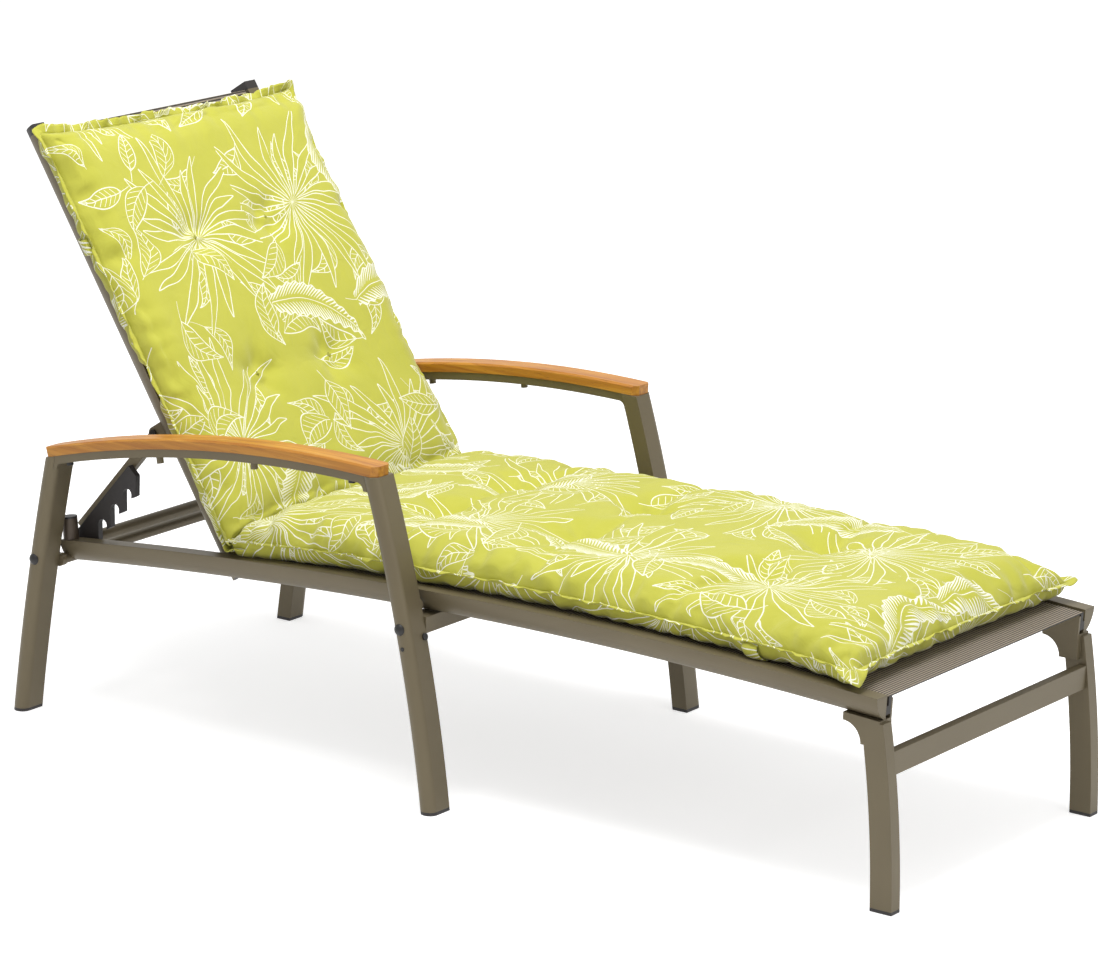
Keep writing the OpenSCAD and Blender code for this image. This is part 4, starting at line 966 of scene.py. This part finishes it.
def threads():
    made, tree, shader = material("lime sewing thread", Metallic=0.0, Roughness=0.7, IOR=1.5)
    place = add(tree, "TexCoord").outputs["Object"]
    twist = add(tree, "TexNoise", {"Vector": place, "Scale": 1500.0})
    paint(tree, shader, twist, colour("93932f"), colour("aeae42"))
    relief = add(tree, "Bump", {"Strength": 0.4, "Distance": 0.0004, "Height": twist})
    tree.links.new(relief.outputs[0], shader.inputs["Normal"])
    return made


thread_look = threads()


def stitch(name, pad, at, out):
    """Two crossed stitches, each a short arched thread."""
    out = unit(np.array(out, float))
    one = unit(np.cross(out, (0.3, 1.0, 0.1)))
    t = np.linspace(-1, 1, STATIONS)
    ring = np.linspace(0, 2 * np.pi, SIDES, endpoint=False)
    verts, faces = [], []
    for lead in (one, np.cross(out, one)):
        aside = np.cross(out, lead)
        middle = at + np.outer(t * STITCH, lead) + np.outer(STITCH_RISE - STITCH_ARCH * t**2, out)
        turn = np.cos(ring)[None, :, None] * aside + np.sin(ring)[None, :, None] * out
        tube = middle[:, None] + THICK * turn
        index = len(verts) + np.arange(STATIONS * SIDES).reshape(STATIONS, SIDES)
        verts += tube.reshape(-1, 3).tolist()
        faces += between(index[:-1], index[1:]) + [index[0, ::-1].tolist(), index[-1].tolist()]
    smooth_object(name, verts, faces, thread_look).parent = pad


def tufts(pad, grid, out, name):
    co = points_of(pad).astype(float)
    for i, r, s in tuft_marks(grid["rows"]):
        at = co[grid["up"].reshape(-1)[tuft_far_squared(grid, r, s).argmin()]]
        stitch(f"{name}_{i}_{'right' if s < 0 else 'left'}", pad, at, out)


tufts(seat_pad, seat_grid, SEAT_OUT, "seat_tuft")
tufts(back_pad, back_grid, BACK_OUT, "back_tuft")
print("tufts:", 2 * (len(seat_grid["rows"]) + len(back_grid["rows"])))

# %% Cloth ties at the side seams
TIE_PATH = (  # outward, inward along the seam, and down from the seam
    (-0.006, 0.0, 0.002), (0.004, 0.0, 0.003), (0.0065, 0.0, 0.010),
    (0.005, 0.004, 0.018), (0.0, 0.008, 0.0245), (-0.012, 0.010, 0.0265),
)
TIE_WIDE, TIE_THICK, TIE_BOW, TIE_CRUMPLE = 0.026, 0.0020, 0.0008, 0.0015
SEAT_TIE, BACK_TIE = 0.985, 0.535  # distance from the hinge
STRIP_STEP, STRIP_CELL, CRUMPLES_PER_METRE = 0.003, 0.006, 30


def strip_of_cloth(name, path, aside, width, thick, shift, bow=0.0, crumple=0.0):
    """A flat strip along a path of points, square to aside, with closed edges."""
    path = np.array(path, float)
    step = np.concatenate([[0], np.cumsum(np.linalg.norm(np.diff(path, axis=0), axis=1))])
    spots = np.linspace(0, step[-1], max(12, int(step[-1] / STRIP_STEP)))
    line = np.stack([np.interp(spots, step, path[:, k]) for k in range(3)], -1)
    for _ in range(SMOOTHINGS):
        line[1:-1] = (line[:-2] + 2 * line[1:-1] + line[2:]) / 4
    aside = unit(np.array(aside, float))
    normal = unit(np.cross(unit(np.gradient(line, axis=0)), aside))
    share = np.linspace(-1, 1, max(9, int(width / STRIP_CELL)))
    rings, places = [], []
    for face in (1, -1):
        for u in share[::face]:
            points = [Vector((u * width * CRUMPLES_PER_METRE, p * CRUMPLES_PER_METRE, shift)) for p in spots]
            wave = np.array([noise.noise(point) for point in points]) * crumple
            lift = bow * (1 - u**2) + wave + face * thick / 2 * (1 - 0.5 * u**8)
            rings.append(line + aside * (u * width / 2) + normal * lift[:, None])
            places.append(np.stack([spots + shift, np.full_like(spots, u * width / 2)], -1))
    return swept(name, np.stack(rings, 1), np.stack(places, 1), cotton)


def tie(name, pad, grid, where, side, out, along):
    """A tie of doubled cloth that leaves the seam and goes down beside the rail."""
    co = points_of(pad).astype(float)
    row = grid["up"][:, 0 if side < 0 else -1]
    at = co[row[np.abs(grid["x"][:, 0] - where).argmin()]]
    out, beside, along = np.array(out, float), np.array((0.0, side, 0.0)), np.array(along, float)
    path = [at + beside * b + along * a - out * d for b, a, d in TIE_PATH]
    made = strip_of_cloth(name, path, along, TIE_WIDE, TIE_THICK, where, TIE_BOW, TIE_CRUMPLE)
    made.parent = pad


for side, word in ((-1, "right"), (1, "left")):
    tie(f"seat_tie_{word}", seat_pad, seat_grid, SEAT_TIE, side, SEAT_OUT, (1, 0, 0))
    tie(f"back_tie_{word}", back_pad, back_grid, BACK_TIE, side, BACK_OUT, BACK_UP)
print("ties at", SEAT_TIE, "m and", BACK_TIE, "m from the hinge")

# %% The fold of cloth at the hinge
FOLD_PATH = (  # distance ahead of the hinge and height
    (0.054, 0.3270), (0.040, 0.3275), (0.031, 0.3235), (0.0265, 0.3165), (0.0225, 0.3150),
    (0.0180, 0.3185), (0.0155, 0.3260), (0.0106, 0.3375), (0.0031, 0.3493),
)
FOLD_WIDE, FOLD_THICK, FOLD_CRUMPLE, FOLD_CLOTH = 0.586, 0.0022, 0.0030, 2.9


def hinge_fold():
    path = [(HINGE.x + x, 0.0, z) for x, z in FOLD_PATH]
    made = strip_of_cloth("hinge_fold", path, (0, 1, 0), FOLD_WIDE, FOLD_THICK, FOLD_CLOTH,
                          crumple=FOLD_CRUMPLE)
    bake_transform(made)
    return made


fold = hinge_fold()
print(fold.name, "has", len(fold.data.vertices), "points")

# %% Attach the pads
for pad, body, old in ((seat_pad, "frame", "seat_cushion"), (back_pad, "backrest", "back_cushion")):
    smooth_once(pad)
    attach(pad, body)
    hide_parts(old)
    print(pad.name, "rides on", body, "with", len(pad.data.vertices), "points")

# %% [markdown]
# ## Floor and light
#
# The background is white and the light is even, as in a catalogue: a bright sky all round, a large soft lamp
# overhead and a smaller one in front of the foot end. Only the camera, and what mirrors it, sees the sky at
# full white. For them the floor glows a little too, so that it is white but for a faint shadow.

# %% White floor and soft light
FLOOR_REACH, FLOOR_GAP, FLOOR_GLOW = 30.0, 0.0005, 0.62
SKY = 0.44


def floor():
    mesh = bpy.data.meshes.new("floor")
    reach = FLOOR_REACH
    corners = [(-reach, -reach, 0), (reach, -reach, 0), (reach, reach, 0), (-reach, reach, 0)]
    mesh.from_pydata(corners, [], [(0, 1, 2, 3)])
    made = linked("floor", mesh)
    made.location.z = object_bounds()[0][2] - FLOOR_GAP
    look, tree, shader = material("white studio floor", Metallic=0.0, Roughness=0.9, IOR=1.5,
                                  Base_Color=colour("f4f4f4"), Emission_Color=colour("ffffff"))
    path = add(tree, "LightPath").outputs
    seen = either(tree, path["Is Camera Ray"], path["Is Glossy Ray"])
    glow = add(tree, "Math MULTIPLY", (seen, FLOOR_GLOW))
    tree.links.new(glow.outputs[0], shader.inputs["Emission Strength"])
    mesh.materials.append(look)
    made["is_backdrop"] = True


def sky(strength):
    world = bpy.data.worlds.new("studio")
    world.use_nodes = True
    bpy.context.scene.world = world
    tree = world.node_tree
    path = add(tree, "LightPath").outputs
    seen = either(tree, path["Is Camera Ray"], path["Is Glossy Ray"], path["Is Transmission Ray"])
    level = add(tree, "Mix", {FACTOR: seen, 2: strength, 3: 1.0})
    background = tree.nodes["Background"]
    tree.links.new(level.outputs[0], background.inputs["Strength"])
    background.inputs["Color"].default_value = colour("ffffff")


def lamp(name, at, aim, size, power):
    light = bpy.data.lights.new(name, "AREA")
    light.size = size
    light.energy = power
    made = linked(name, light)
    made.location = at
    made.rotation_euler = (Vector(aim) - Vector(at)).to_track_quat("-Z", "Y").to_euler()


floor()
sky(SKY)
lamp("overhead", at=(0.3, -0.5, 3.9), aim=(0.1, 0, 0.3), size=2.0, power=134)
lamp("front", at=(4.8, -0.8, 2.3), aim=(0.2, 0, 0.3), size=1.6, power=26)
bpy.context.scene.view_settings.view_transform = "Standard"
print("lamps:", ", ".join(light.name for light in bpy.data.lights))
